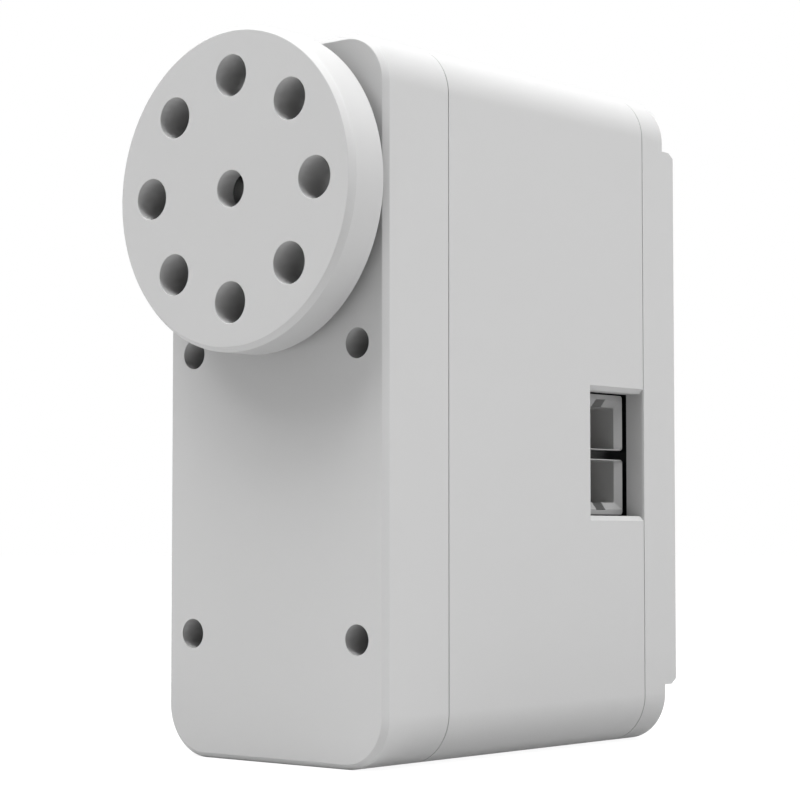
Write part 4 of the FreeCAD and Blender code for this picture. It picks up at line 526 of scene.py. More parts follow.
def make_finishes(colours):
    """One material for each slot of the record."""
    moulded, lathe, bands = moulded_grain(), turning_marks(), layered_bands()
    motor = axis_of("motor_can")[0]
    rough = {"Middle": 0.55, "Spread": 0.12}
    case = {"Grain": 7000.0, "Mottle": 90.0, **rough}
    FINISHES.update({
        # The case and the horn show bounced light a darker colour, which paints deeper shade into their holes
        # and crevices
        "case_plastic": finish_of("case_plastic", moulded, case, colours.case, 0.012, 0.0, 3e-6, shaded_bounce=0.2),
        "horn_plastic": finish_of("horn_plastic", moulded, case, colours.horn, 0.012, 0.0, 3e-6, shaded_bounce=0.08),
        # The sockets' darker grey is painted shade for the inside of the plug opening
        "socket_plastic": finish_of("socket_plastic", moulded, {"Grain": 9000.0, "Middle": 0.45},
                                    colours.socket, 0.015, 0.0, 2e-6),
        "sensor_plastic": finish_of("sensor_plastic", moulded, {"Middle": 0.4},
                                    colours.sensor, 0.02, 0.0, 2e-6),
        "chip_plastic": finish_of("chip_plastic", moulded, rough, colours.chip, 0.12, 0.0, 4e-6),
        "wire_sleeve": finish_of("wire_sleeve", moulded, {"Middle": 0.45}, colours.sleeve, 0.1, 0.0, 2e-6),
        "board": board_finish("board", moulded, colours.board, colours.track),
        "screw_steel": finish_of("screw_steel", moulded, {"Grain": 4000.0, "Middle": 0.28},
                                 colours.plated, 0.05, 1.0, 2e-6),
        "shaft_steel": finish_of("shaft_steel", lathe, {"Middle": 0.12}, colours.ground, 0.05, 1.0, 1e-6),
        "gear_steel": finish_of("gear_steel", moulded, {"Grain": 3000.0, "Middle": 0.34},
                                colours.steel, 0.06, 1.0, 2e-6),
        "bearing_steel": finish_of("bearing_steel", lathe, {"Middle": 0.04, "Spread": 0.12},
                                   colours.ground, 0.03, 1.0, 5e-7),
        "motor_steel": finish_of("motor_steel", lathe, {"Middle": 0.2},
                                 colours.plated, 0.05, 1.0, 2e-6, motor),
        "lamination_steel": finish_of("lamination_steel", bands, {"Bands": 900.0, "Bend": 0.0},
                                      colours.lamination, 0.2, 1.0, 2e-5, motor),
        "magnet": finish_of("magnet", moulded, {"Grain": 5000.0, "Middle": 0.6},
                            colours.magnet, 0.15, 0.3, 6e-6),
        "gear_brass": finish_of("gear_brass", moulded, {"Grain": 3000.0, "Middle": 0.3},
                                colours.brass, 0.06, 1.0, 2e-6),
        "bush_brass": finish_of("bush_brass", lathe, {"Middle": 0.25}, colours.brass, 0.06, 1.0, 2e-6),
        "contact_brass": finish_of("contact_brass", moulded, {"Grain": 5000.0, "Middle": 0.22},
                                   colours.contact, 0.04, 1.0, 1e-6),
        "copper": finish_of("copper", bands, {"Bands": 1700.0, "Bend": 1.5, "Middle": 0.25},
                            colours.copper, 0.25, 1.0, 5e-5, motor, coat=0.4),
        "brush_carbon": finish_of("brush_carbon", moulded, rough, colours.carbon, 0.15, 0.0, 5e-6),
        "capacitor_can": finish_of("capacitor_can", lathe, {"Middle": 0.18},
                                   colours.ground, 0.04, 1.0, 2e-6, axis_of("capacitor")[0]),
    })


# Properties that a user may change


def length(name, description, millimetres):
    """A length property with its default."""
    return bpy.props.FloatProperty(name=name, description=description, default=millimetres * MM,
                                   min=0.0, unit="LENGTH", precision=5)


def colour(name, description, *channels):
    """A colour property with its default."""
    return bpy.props.FloatVectorProperty(name=name, description=description, default=(*channels, 1.0),
                                         subtype="COLOR", size=4, min=0.0, max=1.0)


class ServoSizes(bpy.types.PropertyGroup):
    """Sizes of the case, the horn and the sockets."""

    soft: length("Soft edge", "Reach of the softening at each moulded edge", 0.05)
    corner: length("Case corner", "Radius of the case's long edges", 3.5)
    wall: length("Side wall", "Thickness of the case's side walls", 1.55)
    front_wall: length("Front wall", "Thickness of the case's front wall", 1.7)
    rear_wall: length("Rear wall", "Thickness of the case's rear wall", 1.5)
    front_chamfer: length("Front chamfer", "Chamfer of the case's front edge", 0.35)
    seam_depth: length("Seam depth", "Chamfer of both edges of a seam, inwards", 0.16)
    seam_width: length("Seam width", "Chamfer of both edges of a seam, along the case", 0.05)
    plateau_rise: length("Plateau rise", "Rear plateau over the screw seats", 1.6)
    plateau_chamfer: length("Plateau chamfer", "Rear plateau's edges along the case's sides", 0.15)
    notch_chamfer_across: length("Notch chamfer", "Rear plateau's edges at the notches, across", 0.5)
    notch_chamfer_deep: length("Notch chamfer depth", "Rear plateau's edges at the notches, forwards", 0.75)
    notch_width: length("Notch width", "Screw notch across the case", 4.7)
    notch_height: length("Notch height", "Screw notch along the case", 4.1)
    notch_corner: length("Notch corner", "Radius in a screw notch's inner corner", 1.9)
    fit_gap: length("Fit gap", "Play of the bearing and the gear pins in their seats", 0.02)
    screw_head: length("Screw head", "Radius of the case screws' heads", 1.6)
    head_height: length("Head height", "Case screws' heads", 1.3)
    head_crown: length("Head crown", "Height of the crown on the case screws' heads", 0.75)
    head_edge: length("Head edge", "Chamfer under the case screws' heads", 0.08)
    screw_shank: length("Screw shank", "Radius of the case screws", 0.97)
    screw_point: length("Screw point", "Radius of the case screws' flat ends", 0.55)
    thread_length: length("Thread length", "Thread of the case screws", 12.0)
    thread_pitch: length("Thread pitch", "Thread of the case screws", 0.4)
    thread_depth: length("Thread depth", "Thread of the case screws", 0.13)
    thread_run: length("Thread run-out", "Case screws' thread at both of its ends", 0.5)
    cross_half: length("Cross recess", "Half the width of each slot of the recess", 0.2)
    cross_reach: length("Cross reach", "Recess from the screw's axis", 0.95)
    cross_depth: length("Cross depth", "Recess in the case screws' heads", 0.7)
    cross_side: length("Cross side", "Slant of the recess's sides", 0.06)
    cross_end: length("Cross end", "Slant of the recess's ends", 0.12)
    screw_boss: length("Screw boss", "Radius of the bosses round the case screws", 1.9)
    screw_bore: length("Screw bore", "Radius of the case screws' through holes", 1.12)
    screw_thread: length("Screw thread", "Radius of the case screws' threaded holes", 1.0)
    mount_radius: length("Mounting hole", "Radius of the front mounting holes", 1.055)
    mount_depth: length("Mounting depth", "Depth of the front mounting holes", 4.0)
    mount_boss: length("Mounting boss", "Radius of the bosses behind the mounting holes", 2.0)
    mount_boss_depth: length("Boss depth", "Mounting bosses from the front face", 4.8)
    mount_across: length("Mounting spacing", "Front mounting holes, side to side", 15.05)
    mount_upper: length("Upper mounting holes", "Below the output axis", 10.3)
    mount_lower: length("Lower mounting holes", "Above the case's bottom", 8.37)
    lip_radius: length("Front lip", "Radius of the hole round the horn's hub", 4.35)
    bearing_wall: length("Bearing wall", "Wall round the bearing's seat", 1.2)
    pin_boss: length("Pin boss", "Radius of the front shell's bosses for the gear pins", 1.6)
    pin_collar: length("Pin collar", "Radius of the bulkhead's collar for the upper gear pin", 1.1)
    collar_reach: length("Collar reach", "Collar ahead of the first gear's rear side", 1.1)
    bulkhead: length("Bulkhead", "Wall between the gears and the motor", 1.1)
    motor_recess: length("Motor recess", "Motor's front in the bulkhead", 0.8)
    motor_nose: length("Motor nose", "Radius of the bulkhead's hole for the motor's nose", 2.02)
    motor_screw_reach: length("Motor screws", "Motor screws from the motor's axis", 4.0)
    motor_screw_hole: length("Motor screw hole", "Radius of the motor screws' holes", 0.92)
    bush_bore: length("Bush bore", "Radius of the bulkhead's hole for the shaft's bush", 2.42)
    small_head: length("Small screw head", "Radius of the sensor's and the board's screw heads", 1.3)
    small_hole: length("Small screw hole", "Radius of the sensor's and the board's screw holes", 0.8)
    sensor_post: length("Sensor post", "Radius of the posts under the sensor's board", 1.35)
    post_hole_depth: length("Post hole depth", "Screw holes in the sensor's posts", 2.2)
    board_boss: length("Board boss", "Radius of the bosses under the main board", 1.4)
    board_gap: length("Board gap", "Play round the main board", 0.15)
    board_corner: length("Board corner", "Radius in the corners of the board's room", 0.2)
    horn_thickness: length("Horn thickness", "Horn disc", 3.0)
    horn_chamfer_across: length("Horn chamfer", "Front edge of the horn, in radius", 0.3)
    horn_chamfer_deep: length("Horn chamfer depth", "Front edge of the horn, along the axis", 0.42)
    horn_back_chamfer: length("Horn back chamfer", "Back edge of the horn", 0.03)
    horn_circle: length("Hole circle", "Diameter of the horn's hole circle", 15.0)
    horn_hole: length("Horn hole", "Radius of the horn's holes", 1.39)
    horn_centre: length("Centre hole", "Radius of the horn's centre hole", 1.225)
    horn_hub: length("Horn hub", "Radius of the hub behind the disc", 3.85)
    horn_web: length("Horn web", "Horn in front of the shaft's nose", 1.5)
    spline: length("Spline", "Tip radius of the spline in the horn", 2.92)
    spline_depth: length("Spline depth", "Teeth of the spline", 0.22)
    opening_chamfer: length("Opening chamfer", "Outer edges of the plug opening", 0.35)
    opening_front_chamfer: length("Opening front chamfer", "Front edge of the plug opening", 0.1)
    opening_reach: length("Opening reach", "Plug opening past the side wall's inside", 0.4)
    opening_depth: length("Opening depth", "Plug opening from the rear seam forward", 6.55)
    opening_margin: length("Opening margin", "Plug opening beyond the sockets", 0.09)
    socket_wall: length("Socket wall", "Front and rear walls of a socket", 0.55)
    socket_thin_wall: length("Socket thin wall", "Wall of a socket that faces the other socket", 0.07)
    socket_floor: length("Socket floor", "Back wall of a socket", 1.0)
    socket_rim: length("Socket rim", "Flat rim of a socket's outer wall", 0.4)
    socket_lead: length("Socket lead-in", "Depth of the chamfer in a socket's mouth", 0.4)
    socket_lead_across: length("Socket lead-in width", "Width of the chamfer in a socket's mouth", 0.5)
    socket_corner: length("Socket corner", "Radius of a socket's outer corners", 0.25)
    cavity_corner: length("Cavity corner", "Radius of a socket's inner corners", 0.12)
    latch_width: length("Latch width", "Groove in a socket's outer wall", 1.15)
    latch_depth: length("Latch depth", "Groove in a socket's outer wall, inwards", 1.4)
    latch_before: length("Latch place", "Groove's front side before the socket's rear side", 3.3)
    contact_width: length("Contact width", "Square contact", 0.4)
    contact_pitch: length("Contact pitch", "Contact to contact", 1.25)
    contact_tip: length("Contact tip", "Slanted end of a contact", 0.35)


class ServoColours(bpy.types.PropertyGroup):
    """Colours of the finishes."""

    case: colour("Case", "Plastic of the three shells", 0.6, 0.6, 0.6)
    horn: colour("Horn", "Plastic of the horn", 0.585, 0.585, 0.585)
    # The sockets' grey is darker than the case's grey, which paints the shade that falls inside the plug
    # opening
    socket: colour("Sockets", "Plastic of the sockets", 0.42, 0.42, 0.42)
    sensor: colour("Sensor", "Housing of the position sensor", 0.78, 0.78, 0.75)
    chip: colour("Chips", "Resin of the chips", 0.025, 0.025, 0.027)
    sleeve: colour("Leads", "Sleeves of the sensor's leads", 0.04, 0.04, 0.042)
    board: colour("Boards", "Solder mask", 0.004, 0.005, 0.006)
    track: colour("Tracks", "Solder mask over copper", 0.009, 0.01, 0.012)
    plated: colour("Plated steel", "Screws and motor can", 0.62, 0.62, 0.61)
    ground: colour("Ground steel", "Shafts and bearing", 0.72, 0.72, 0.72)
    steel: colour("Gear steel", "Steel gears", 0.5, 0.5, 0.5)
    lamination: colour("Laminations", "Sheets of the armature", 0.3, 0.3, 0.31)
    magnet: colour("Magnets", "Sintered magnets", 0.1, 0.1, 0.105)
    brass: colour("Brass", "Brass gears and bushes", 0.75, 0.55, 0.25)
    contact: colour("Contacts", "Plated contacts", 0.85, 0.7, 0.4)
    copper: colour("Copper", "Enamelled wire", 0.75, 0.32, 0.16)
    carbon: colour("Carbon", "Motor brushes", 0.03, 0.03, 0.03)
    floor: colour("Floor", "Floor of the stage", 0.58, 0.58, 0.58)


class Millimetres:
    """The sizes of a property group, read in millimetres."""

    def __init__(self, group):
        self.group = group

    def __getattr__(self, name):
        return getattr(self.group, name) / MM


# Places that the case's pieces share


def case_places(s):
    """The case's outline and the places of its screws and mounting holes, as x and z."""
    low, high = corners_of("middle_case")
    low, high = low[[0, 2]], high[[0, 2]]
    heads = [corner[[0, 2]] for corner in corners_of("case_screws")]
    first, last = heads[0] + s.screw_head, heads[1] - s.screw_head
    screws = np.array([(x, z) for x in (last[0], first[0]) for z in (first[1], last[1])])
    mount = s.mount_across / 2
    mounts = np.array([(x, z) for x in (mount, -mount) for z in (low[1] + s.mount_lower, -s.mount_upper)])
    return low, high, screws, mounts


def screw_outlines(s, low, high, places, *radii):
    """Circles round the case screws, kept within the middle of the case's walls."""
    inner, outer = low + s.wall / 2, high - s.wall / 2
    return [(kept_within(circle(spot, radius, 32), inner, outer, s.corner - s.wall / 2), None)
            for spot in places for radius in radii]


def levels_of(planes, *lines):
    """Every depth at which a surface changes, in order."""
    return np.unique(np.round(np.concatenate([planes, *[line[:, 0] for line in lines]]), 5))


class ServoOperator:
    """What the operators of the servo's pieces have in common."""

    bl_options = {"REGISTER", "UNDO"}

    def sizes(self, context):
        """The sizes in millimetres, with the finishes made if they aren't there yet."""
        if not FINISHES:
            make_finishes(context.scene.servo_colours)
        return Millimetres(context.scene.servo_sizes)


class FrontShell(ServoOperator, bpy.types.Operator):
    """Front shell with its holes, bearing seat and bosses"""

    bl_idname = "servo.front_shell"
    bl_label = "Front shell"

    def execute(self, context):
        s = self.sizes(context)
        low, high, screws, mounts = case_places(s)
        face, seam = corners_of("front_case")[0][1], corners_of("middle_case")[0][1]
        boss_end = corners_of("front_case")[1][1]
        bearing_low, bearing_high = corners_of("bearing_outer_ring")
        seat_front, seat_rear = bearing_low[1], bearing_high[1]
        seat = bearing_high[0] + s.fit_gap
        upper, lower = axis_of("upper_gear_pin"), axis_of("lower_gear_pin")
        upper_start, lower_start = corners_of("upper_gear_pin")[0][1], corners_of("lower_gear_pin")[0][1]
        pin = corners_of("upper_gear_pin")[1][0] + s.fit_gap
        hub = np.zeros((1, 2))
        wall_inside = face + s.front_wall
        hole_end, mount_end = face + s.mount_depth, face + s.mount_boss_depth
        inner_low, inner_high = low + s.wall, high - s.wall
        inner_corner = s.corner - s.wall
        collar = seat + s.bearing_wall

        rim = edge(face, s.front_chamfer, s.front_chamfer, s.soft, 1)
        back = edge(seam, s.seam_depth, s.seam_width, s.soft / 5, -1)
        mouth = edge(face, 0, 0, s.soft, 1)
        outer = rounded(low, high, s.corner, 32)
        outlines = [(outer, np.concatenate([rim, back]))]
        outlines += [(circle(spot, s.mount_radius, 48), mouth) for spot in mounts]
        outlines += [(circle(hub[0], s.lip_radius, 72), mouth)]
        outlines += [(rounded(inner_low, inner_high, inner_corner, 12), None)]
        outlines += [(circle(hub[0], radius, 72), None) for radius in (seat, collar)]
        outlines += [(circle(spot, s.mount_boss, 32), None) for spot in mounts]
        outlines += screw_outlines(s, low, high, screws, s.screw_boss, s.screw_thread)
        outlines += [(circle(spot[0], radius, 32), None)
                     for spot in (upper, lower) for radius in (s.pin_boss, pin)]

        def filled(x, z, y):
            shell = within_rounded(low, high, s.corner, x, z) & (y < seam)
            hollow = within_rounded(inner_low, inner_high, inner_corner, x, z) & (y > wall_inside)
            solid = shell & ~hollow
            solid |= within_circle(screws, s.screw_boss, x, z) & shell
            solid |= within_circle(mounts, s.mount_boss, x, z) & (y < mount_end) & shell
            solid |= within_circle(hub, collar, x, z) & (y < seat_rear)
            solid |= within_circle(upper, s.pin_boss, x, z) & (y < seat_rear)
            solid |= within_circle(lower, s.pin_boss, x, z)
            solid &= ~within_circle(hub, s.lip_radius, x, z)
            solid &= ~(within_circle(hub, seat, x, z) & (y > seat_front))
            solid &= ~(within_circle(mounts, s.mount_radius, x, z) & (y < hole_end))
            solid &= ~(within_circle(screws, s.screw_thread, x, z) & (y > wall_inside))
            solid &= ~(within_circle(upper, pin, x, z) & (y > upper_start))
            return solid & ~(within_circle(lower, pin, x, z) & (y > lower_start))

        planes = [face, seat_front, upper_start, wall_inside, seat_rear, hole_end, mount_end, lower_start,
                  seam, boss_end]
        skin = slabs(levels_of(planes, rim, back, mouth), outlines, filled, "y")
        piece("front_shell", skin, FINISHES["case_plastic"], "case", "case_plastic", "front_case")
        return {"FINISHED"}


class MiddleShell(ServoOperator, bpy.types.Operator):
    """Middle shell with its bulkhead, posts and plug opening"""

    bl_idname = "servo.middle_shell"
    bl_label = "Middle shell"

    def execute(self, context):
        s = self.sizes(context)
        low, high, screws, _ = case_places(s)
        front, rear = corners_of("middle_case")[0][1], corners_of("middle_case")[1][1]
        wall_rear = corners_of("motor_can")[0][1] + s.motor_recess
        wall_front = wall_rear - s.bulkhead
        collar_front = corners_of("first_gear")[1][1] - s.collar_reach
        post_end = corners_of("sensor_board")[0][1]
        pins = axis_of("upper_gear_pin", "lower_gear_pin")
        pin = corners_of("upper_gear_pin")[1][0] + s.fit_gap
        hub, motor = np.zeros((1, 2)), axis_of("motor_can")
        motor_screws = motor + np.array([[1, 0], [-1, 0]]) * s.motor_screw_reach
        sensor_z = axis_of("sensor_screws")[0][1]
        reach = corners_of("sensor_screws")[1][0] - s.small_head
        posts = np.array([[reach, sensor_z], [-reach, sensor_z]])
        inner_low, inner_high = low + s.wall, high - s.wall
        inner_corner = s.corner - s.wall

        below = corners_of("lower_socket")[0][2] - s.opening_margin
        above = corners_of("upper_socket")[1][2] + s.opening_margin
        start, lip, side = rear - s.opening_depth, s.opening_chamfer, high[0]
        shallow, bevel, outside = s.opening_front_chamfer, side - lip, side + 1
        wedge = np.array([[side, below - lip], [outside, below - lip], [outside, above + lip],
                          [side, above + lip], [bevel, above], [bevel, below]])
        inside = side - s.wall - s.opening_reach
        mouth = np.array([[inside, below], [bevel, below], [bevel, above], [inside, above]])
        front_rim = edge(front, s.seam_depth, s.seam_width, s.soft / 5, 1)
        rear_rim = edge(rear, s.seam_depth, s.seam_width, s.soft / 5, -1)
        hole_start = post_end - s.post_hole_depth
        planes = [front, collar_front, wall_front, wall_rear, hole_start, post_end, start - shallow, start,
                  rear]
        levels = levels_of(planes, front_rim, rear_rim)

        # The opening's slanted edges close towards its front edge, where one end of the wedge meets
        # the side. Further forward nothing shows the wedge, and it is half closed.
        shut = np.where(levels < start - shallow - TOUCHING, 0.5, np.clip((start - levels) / shallow, 0, 1))
        closing = shut[:, None, None] * np.array([[0, 0], [0, 0], [0, 0], [0, 0], [lip, lip], [lip, -lip]])

        outer = rounded(low, high, s.corner, 32)
        outlines = [(outer, np.concatenate([front_rim, rear_rim])), (wedge, closing), (mouth, None)]
        outlines += [(rounded(inner_low, inner_high, inner_corner, 12), None)]
        outlines += screw_outlines(s, low, high, screws, s.screw_boss, s.screw_bore)
        outlines += [(circle(spot, radius, 32), None) for spot in pins for radius in (pin, s.pin_collar)]
        outlines += [(circle(hub[0], s.bush_bore, 48), None), (circle(motor[0], s.motor_nose, 48), None)]
        outlines += [(circle(spot, s.motor_screw_hole, 24), None) for spot in motor_screws]
        outlines += [(circle(spot, radius, 32), None)
                     for spot in posts for radius in (s.sensor_post, s.small_hole)]

        def filled(x, z, y):
            shell = within_rounded(low, high, s.corner, x, z)
            hollow = within_rounded(inner_low, inner_high, inner_corner, x, z)
            bulkhead = (y > wall_front) & (y < wall_rear)
            solid = shell & (~hollow | bulkhead | within_circle(screws, s.screw_boss, x, z))
            solid |= within_circle(pins[:1], s.pin_collar, x, z) & (y > collar_front) & (y < wall_rear)
            solid |= within_circle(posts, s.sensor_post, x, z) & (y > wall_front) & (y < post_end)
            solid &= ~within_circle(screws, s.screw_bore, x, z)
            solid &= ~within_circle(pins, pin, x, z)
            solid &= ~(within_circle(hub, s.bush_bore, x, z) | within_circle(motor, s.motor_nose, x, z))
            solid &= ~within_circle(motor_screws, s.motor_screw_hole, x, z)
            solid &= ~(within_circle(posts, s.small_hole, x, z) & (y > hole_start))
            slope = np.maximum(x - bevel, 0)
            gap = (z > below - slope) & (z < above + slope)
            cut = gap & (x > inside) & (y > start)
            cut |= gap & (x > bevel) & (y > start - shallow)
            return solid & ~cut

        skin = slabs(levels, outlines, filled, "y")
        piece("middle_shell", skin, FINISHES["case_plastic"], "case", "case_plastic", "middle_case")
        return {"FINISHED"}


class RearShell(ServoOperator, bpy.types.Operator):
    """Rear shell with its plateau, screw notches and board bosses"""

    bl_idname = "servo.rear_shell"
    bl_label = "Rear shell"

    def execute(self, context):
        s = self.sizes(context)
        low, high, screws, _ = case_places(s)
        seam, back = corners_of("rear_cover")[0][1], corners_of("rear_cover")[1][1]
        seat = back - s.plateau_rise
        rim_end, hollow_end = seat - s.rear_wall, back - s.rear_wall
        board_low, board_high = corners_of("main_board")
        room_low, room_high = board_low[[0, 2]] - s.board_gap, board_high[[0, 2]] + s.board_gap
        board_rear = board_high[1]
        heads_low, heads_high = corners_of("board_screws")
        first, last = heads_low + s.small_head, heads_high - s.small_head
        bosses = np.array([(x, z) for x in (last[0], -last[0]) for z in (first[2], last[2])])
        inner_low, inner_high = low + s.wall, high - s.wall
        inner_corner = s.corner - s.wall

        plateau = notched(low, high, s.notch_width, s.notch_height, s.notch_corner, 16)
        rim = edge(seam, s.seam_depth, s.seam_width, s.soft / 5, 1)
        crown = edge(back, s.plateau_chamfer, s.plateau_chamfer, s.soft, -1)
        slant = edge(back, s.notch_chamfer_across, s.notch_chamfer_deep, s.soft, -1)
        outer = rounded(low, high, s.corner, 32)
        planes = [seam, rim_end, board_rear, seat, hollow_end, back]
        levels = levels_of(planes, rim, crown, slant)
        gentle, steep = (np.interp(levels, *line.T)[:, None, None] for line in (crown, slant))
        flush = (abs(plateau - low) < TOUCHING) | (abs(plateau - high) < TOUCHING)
        outlines = [(outer, rim), (plateau, np.where(flush, gentle, steep) * grown(plateau, [1]))]
        outlines += [(rounded(inner_low, inner_high, inner_corner, 12), None)]
        outlines += [(rounded(room_low, room_high, s.board_corner, 2), None)]
        outlines += screw_outlines(s, low, high, screws, s.screw_boss, s.screw_bore)
        outlines += [(circle(spot, radius, 32), None)
                     for spot in bosses for radius in (s.board_boss, s.small_hole)]
        middle = (low + high) / 2
        reach = high - middle
        bend = reach - (s.notch_width, s.notch_height)
        inset = s.notch_corner

        def on_plateau(x, z):
            """Whether points lie outside the notches, whose inner corners are round."""
            across, up = np.abs(x - middle[0]) - bend[0], np.abs(z - middle[1]) - bend[1]
            kept = (across < inset) & (up < inset) & (np.hypot(across - inset, up - inset) > inset)
            return (across <= 0) | (up <= 0) | kept

        def filled(x, z, y):
            solid = within_rounded(low, high, s.corner, x, z)
            hollow = within_rounded(inner_low, inner_high, inner_corner, x, z) & (y < rim_end)
            hollow |= within_rounded(room_low, room_high, s.board_corner, x, z) & (y < hollow_end)
            bossed = within_circle(screws, s.screw_boss, x, z) & (y < rim_end)
            bossed |= within_circle(bosses, s.board_boss, x, z) & (y > board_rear)
            solid &= ~hollow | bossed
            solid &= ~within_circle(screws, s.screw_bore, x, z)
            solid &= ~(within_circle(bosses, s.small_hole, x, z) & (y > board_rear) & (y < hollow_end))
            return solid & (on_plateau(x, z) | (y < seat))

        def inward(points):
            """The hollow's points near the notches' walls are drawn in a fifth more than the walls.
            The share falls evenly from there to nothing at the middle and at the case's sides."""
            offset = points - middle
            share = np.minimum(abs(offset) / bend, (reach - abs(offset)) / (reach - bend))
            return 1.2 * steep * share * np.sign(offset)

        skin = slabs(levels, outlines, filled, "y", inward)
        piece("rear_shell", skin, FINISHES["case_plastic"], "case", "case_plastic", "rear_cover")
        return {"FINISHED"}


class Horn(ServoOperator, bpy.types.Operator):
    """Round horn with its holes, hub and splined socket"""

    bl_idname = "servo.horn"
    bl_label = "Horn"

    def execute(self, context):
        s = self.sizes(context)
        far_corner = corners_of("output_horn")[1]
        radius, hub_end, back = far_corner[0], far_corner[1], s.horn_thickness
        holes = circle((0, 0), s.horn_circle / 2, HORN_HOLES)
        hub = np.zeros((1, 2))
        front = edge(0, s.horn_chamfer_across, s.horn_chamfer_deep, s.soft, 1)
        rear = edge(back, s.horn_back_chamfer, s.horn_back_chamfer, s.soft, -1)
        mouth, exit_rim = hole_mouth(0, s.soft, 1), hole_mouth(back, s.soft, -1)
        through = np.concatenate([mouth, exit_rim])
        outlines = [(circle((0, 0), radius, 160), np.concatenate([front, rear]))]
        outlines += [(circle(spot, s.horn_hole, 56), through) for spot in holes]
        outlines += [(circle((0, 0), s.horn_centre, 56), mouth), (circle((0, 0), s.horn_hub, 96), None)]
        outlines += [(star(s.spline, s.spline - s.spline_depth, SPLINE_TEETH), None)]

        def filled(x, z, y):
            solid = within_circle(hub, radius, x, z) & (y < back) | within_circle(hub, s.horn_hub, x, z)
            solid &= ~within_circle(holes, s.horn_hole, x, z)
            solid &= ~within_circle(hub, s.horn_centre, x, z)
            turns = np.arctan2(x, z) * SPLINE_TEETH / (2 * np.pi)
            tooth = np.abs(turns - np.round(turns)) * 2
            return solid & ~((np.hypot(x, z) < s.spline - s.spline_depth * tooth) & (y > s.horn_web))

        levels = levels_of([0, s.horn_web, back, hub_end], front, rear, mouth, exit_rim)
        skin = slabs(levels, outlines, filled, "y")
        piece("horn", skin, FINISHES["horn_plastic"], "output", "horn_plastic", "output_horn")
        return {"FINISHED"}


class Sockets(ServoOperator, bpy.types.Operator):
    """Two plug sockets, mirror images of each other"""

    bl_idname = "servo.sockets"
    bl_label = "Sockets"

    def execute(self, context):
        s = self.sizes(context)
        for node, outward in (("upper_socket", 1), ("lower_socket", -1)):
            box_low, box_high = corners_of(node)
            low, high = box_low[1:], box_high[1:]
            back, mouth = box_low[0], box_high[0]
            thick, thin = s.socket_rim + s.socket_lead_across, s.socket_thin_wall
            room_low, room_high = low + s.socket_wall, high - s.socket_wall
            room_low[1] = low[1] + (thin if outward > 0 else thick)
            room_high[1] = high[1] - (thick if outward > 0 else thin)
            ceiling = room_high[1] if outward > 0 else room_low[1]
            latch_z = sorted([ceiling, ceiling + outward * (s.socket_lead_across + s.soft)])
            latch_y = high[0] - s.latch_before, high[0] - s.latch_before + s.latch_width
            latch_end = mouth - s.latch_depth
            rim = edge(mouth, 0, 0, s.soft, -1)
            lead = edge(mouth, -s.socket_lead_across, s.socket_lead, s.soft / 2, -1)
            levels = levels_of([back, back + s.socket_floor, latch_end, mouth], rim, lead)
            outer = rounded(low, high, s.socket_corner, 8)
            cavity = rounded(room_low, room_high, s.cavity_corner, 4)
            middle = (room_low + room_high) / 2
            way = np.sign(cavity - middle)
            way[:, 1] = np.where(way[:, 1] == outward, outward, 0)
            opened = np.interp(levels, lead[:, 0], lead[:, 1])[:, None, None] * way
            latch = np.array([(latch_y[i], latch_z[j]) for i, j in ((0, 0), (1, 0), (1, 1), (0, 1))])
            outlines = [(outer, rim), (cavity, opened), (latch, None)]

            def filled(y, z, x):
                solid = within_rounded(low, high, s.socket_corner, y, z)
                room = within_rounded(room_low, room_high, s.cavity_corner, y, z)
                solid &= ~(room & (x > back + s.socket_floor))
                inside = (y > latch_y[0]) & (y < latch_y[1]) & (z > latch_z[0]) & (z < latch_z[1])
                return solid & ~(inside & (x > latch_end))

            skin = slabs(levels, outlines, filled, "x")
            piece(node.replace("socket", "plug_socket"), skin, FINISHES["socket_plastic"], "case",
                  "socket_plastic", node)
        return {"FINISHED"}


class Contacts(ServoOperator, bpy.types.Operator):
    """Square contacts with pointed tips in both sockets"""

    bl_idname = "servo.contacts"
    bl_label = "Contacts"

    def execute(self, context):
        s = self.sizes(context)
        low, high = corners_of("socket_contacts")
        half, tip, end = s.contact_width / 2, s.contact_tip, high[0]
        places = np.array([(low[1] + half + i * s.contact_pitch, z)
                           for i in range(CONTACTS_PER_SOCKET) for z in (low[2] + half, high[2] - half)])

        # A contact's sides slant in by three fifths, and then to a small flat end
        point = np.array([(low[0], 0), (end - tip, 0), (end - tip / 4, -0.6 * half), (end, -0.8 * half)])
        outlines = [(rounded(spot - half, spot + half, half / 4, 3), point) for spot in places]

        def filled(y, z, x):
            within_y = np.abs(y - places[:, :1]) < half
            return (within_y & (np.abs(z - places[:, 1:]) < half)).any(0)

        skin = slabs(levels_of([], point), outlines, filled, "x")
        piece("contacts", skin, FINISHES["contact_brass"], "case", "contact_brass", "socket_contacts")
        return {"FINISHED"}


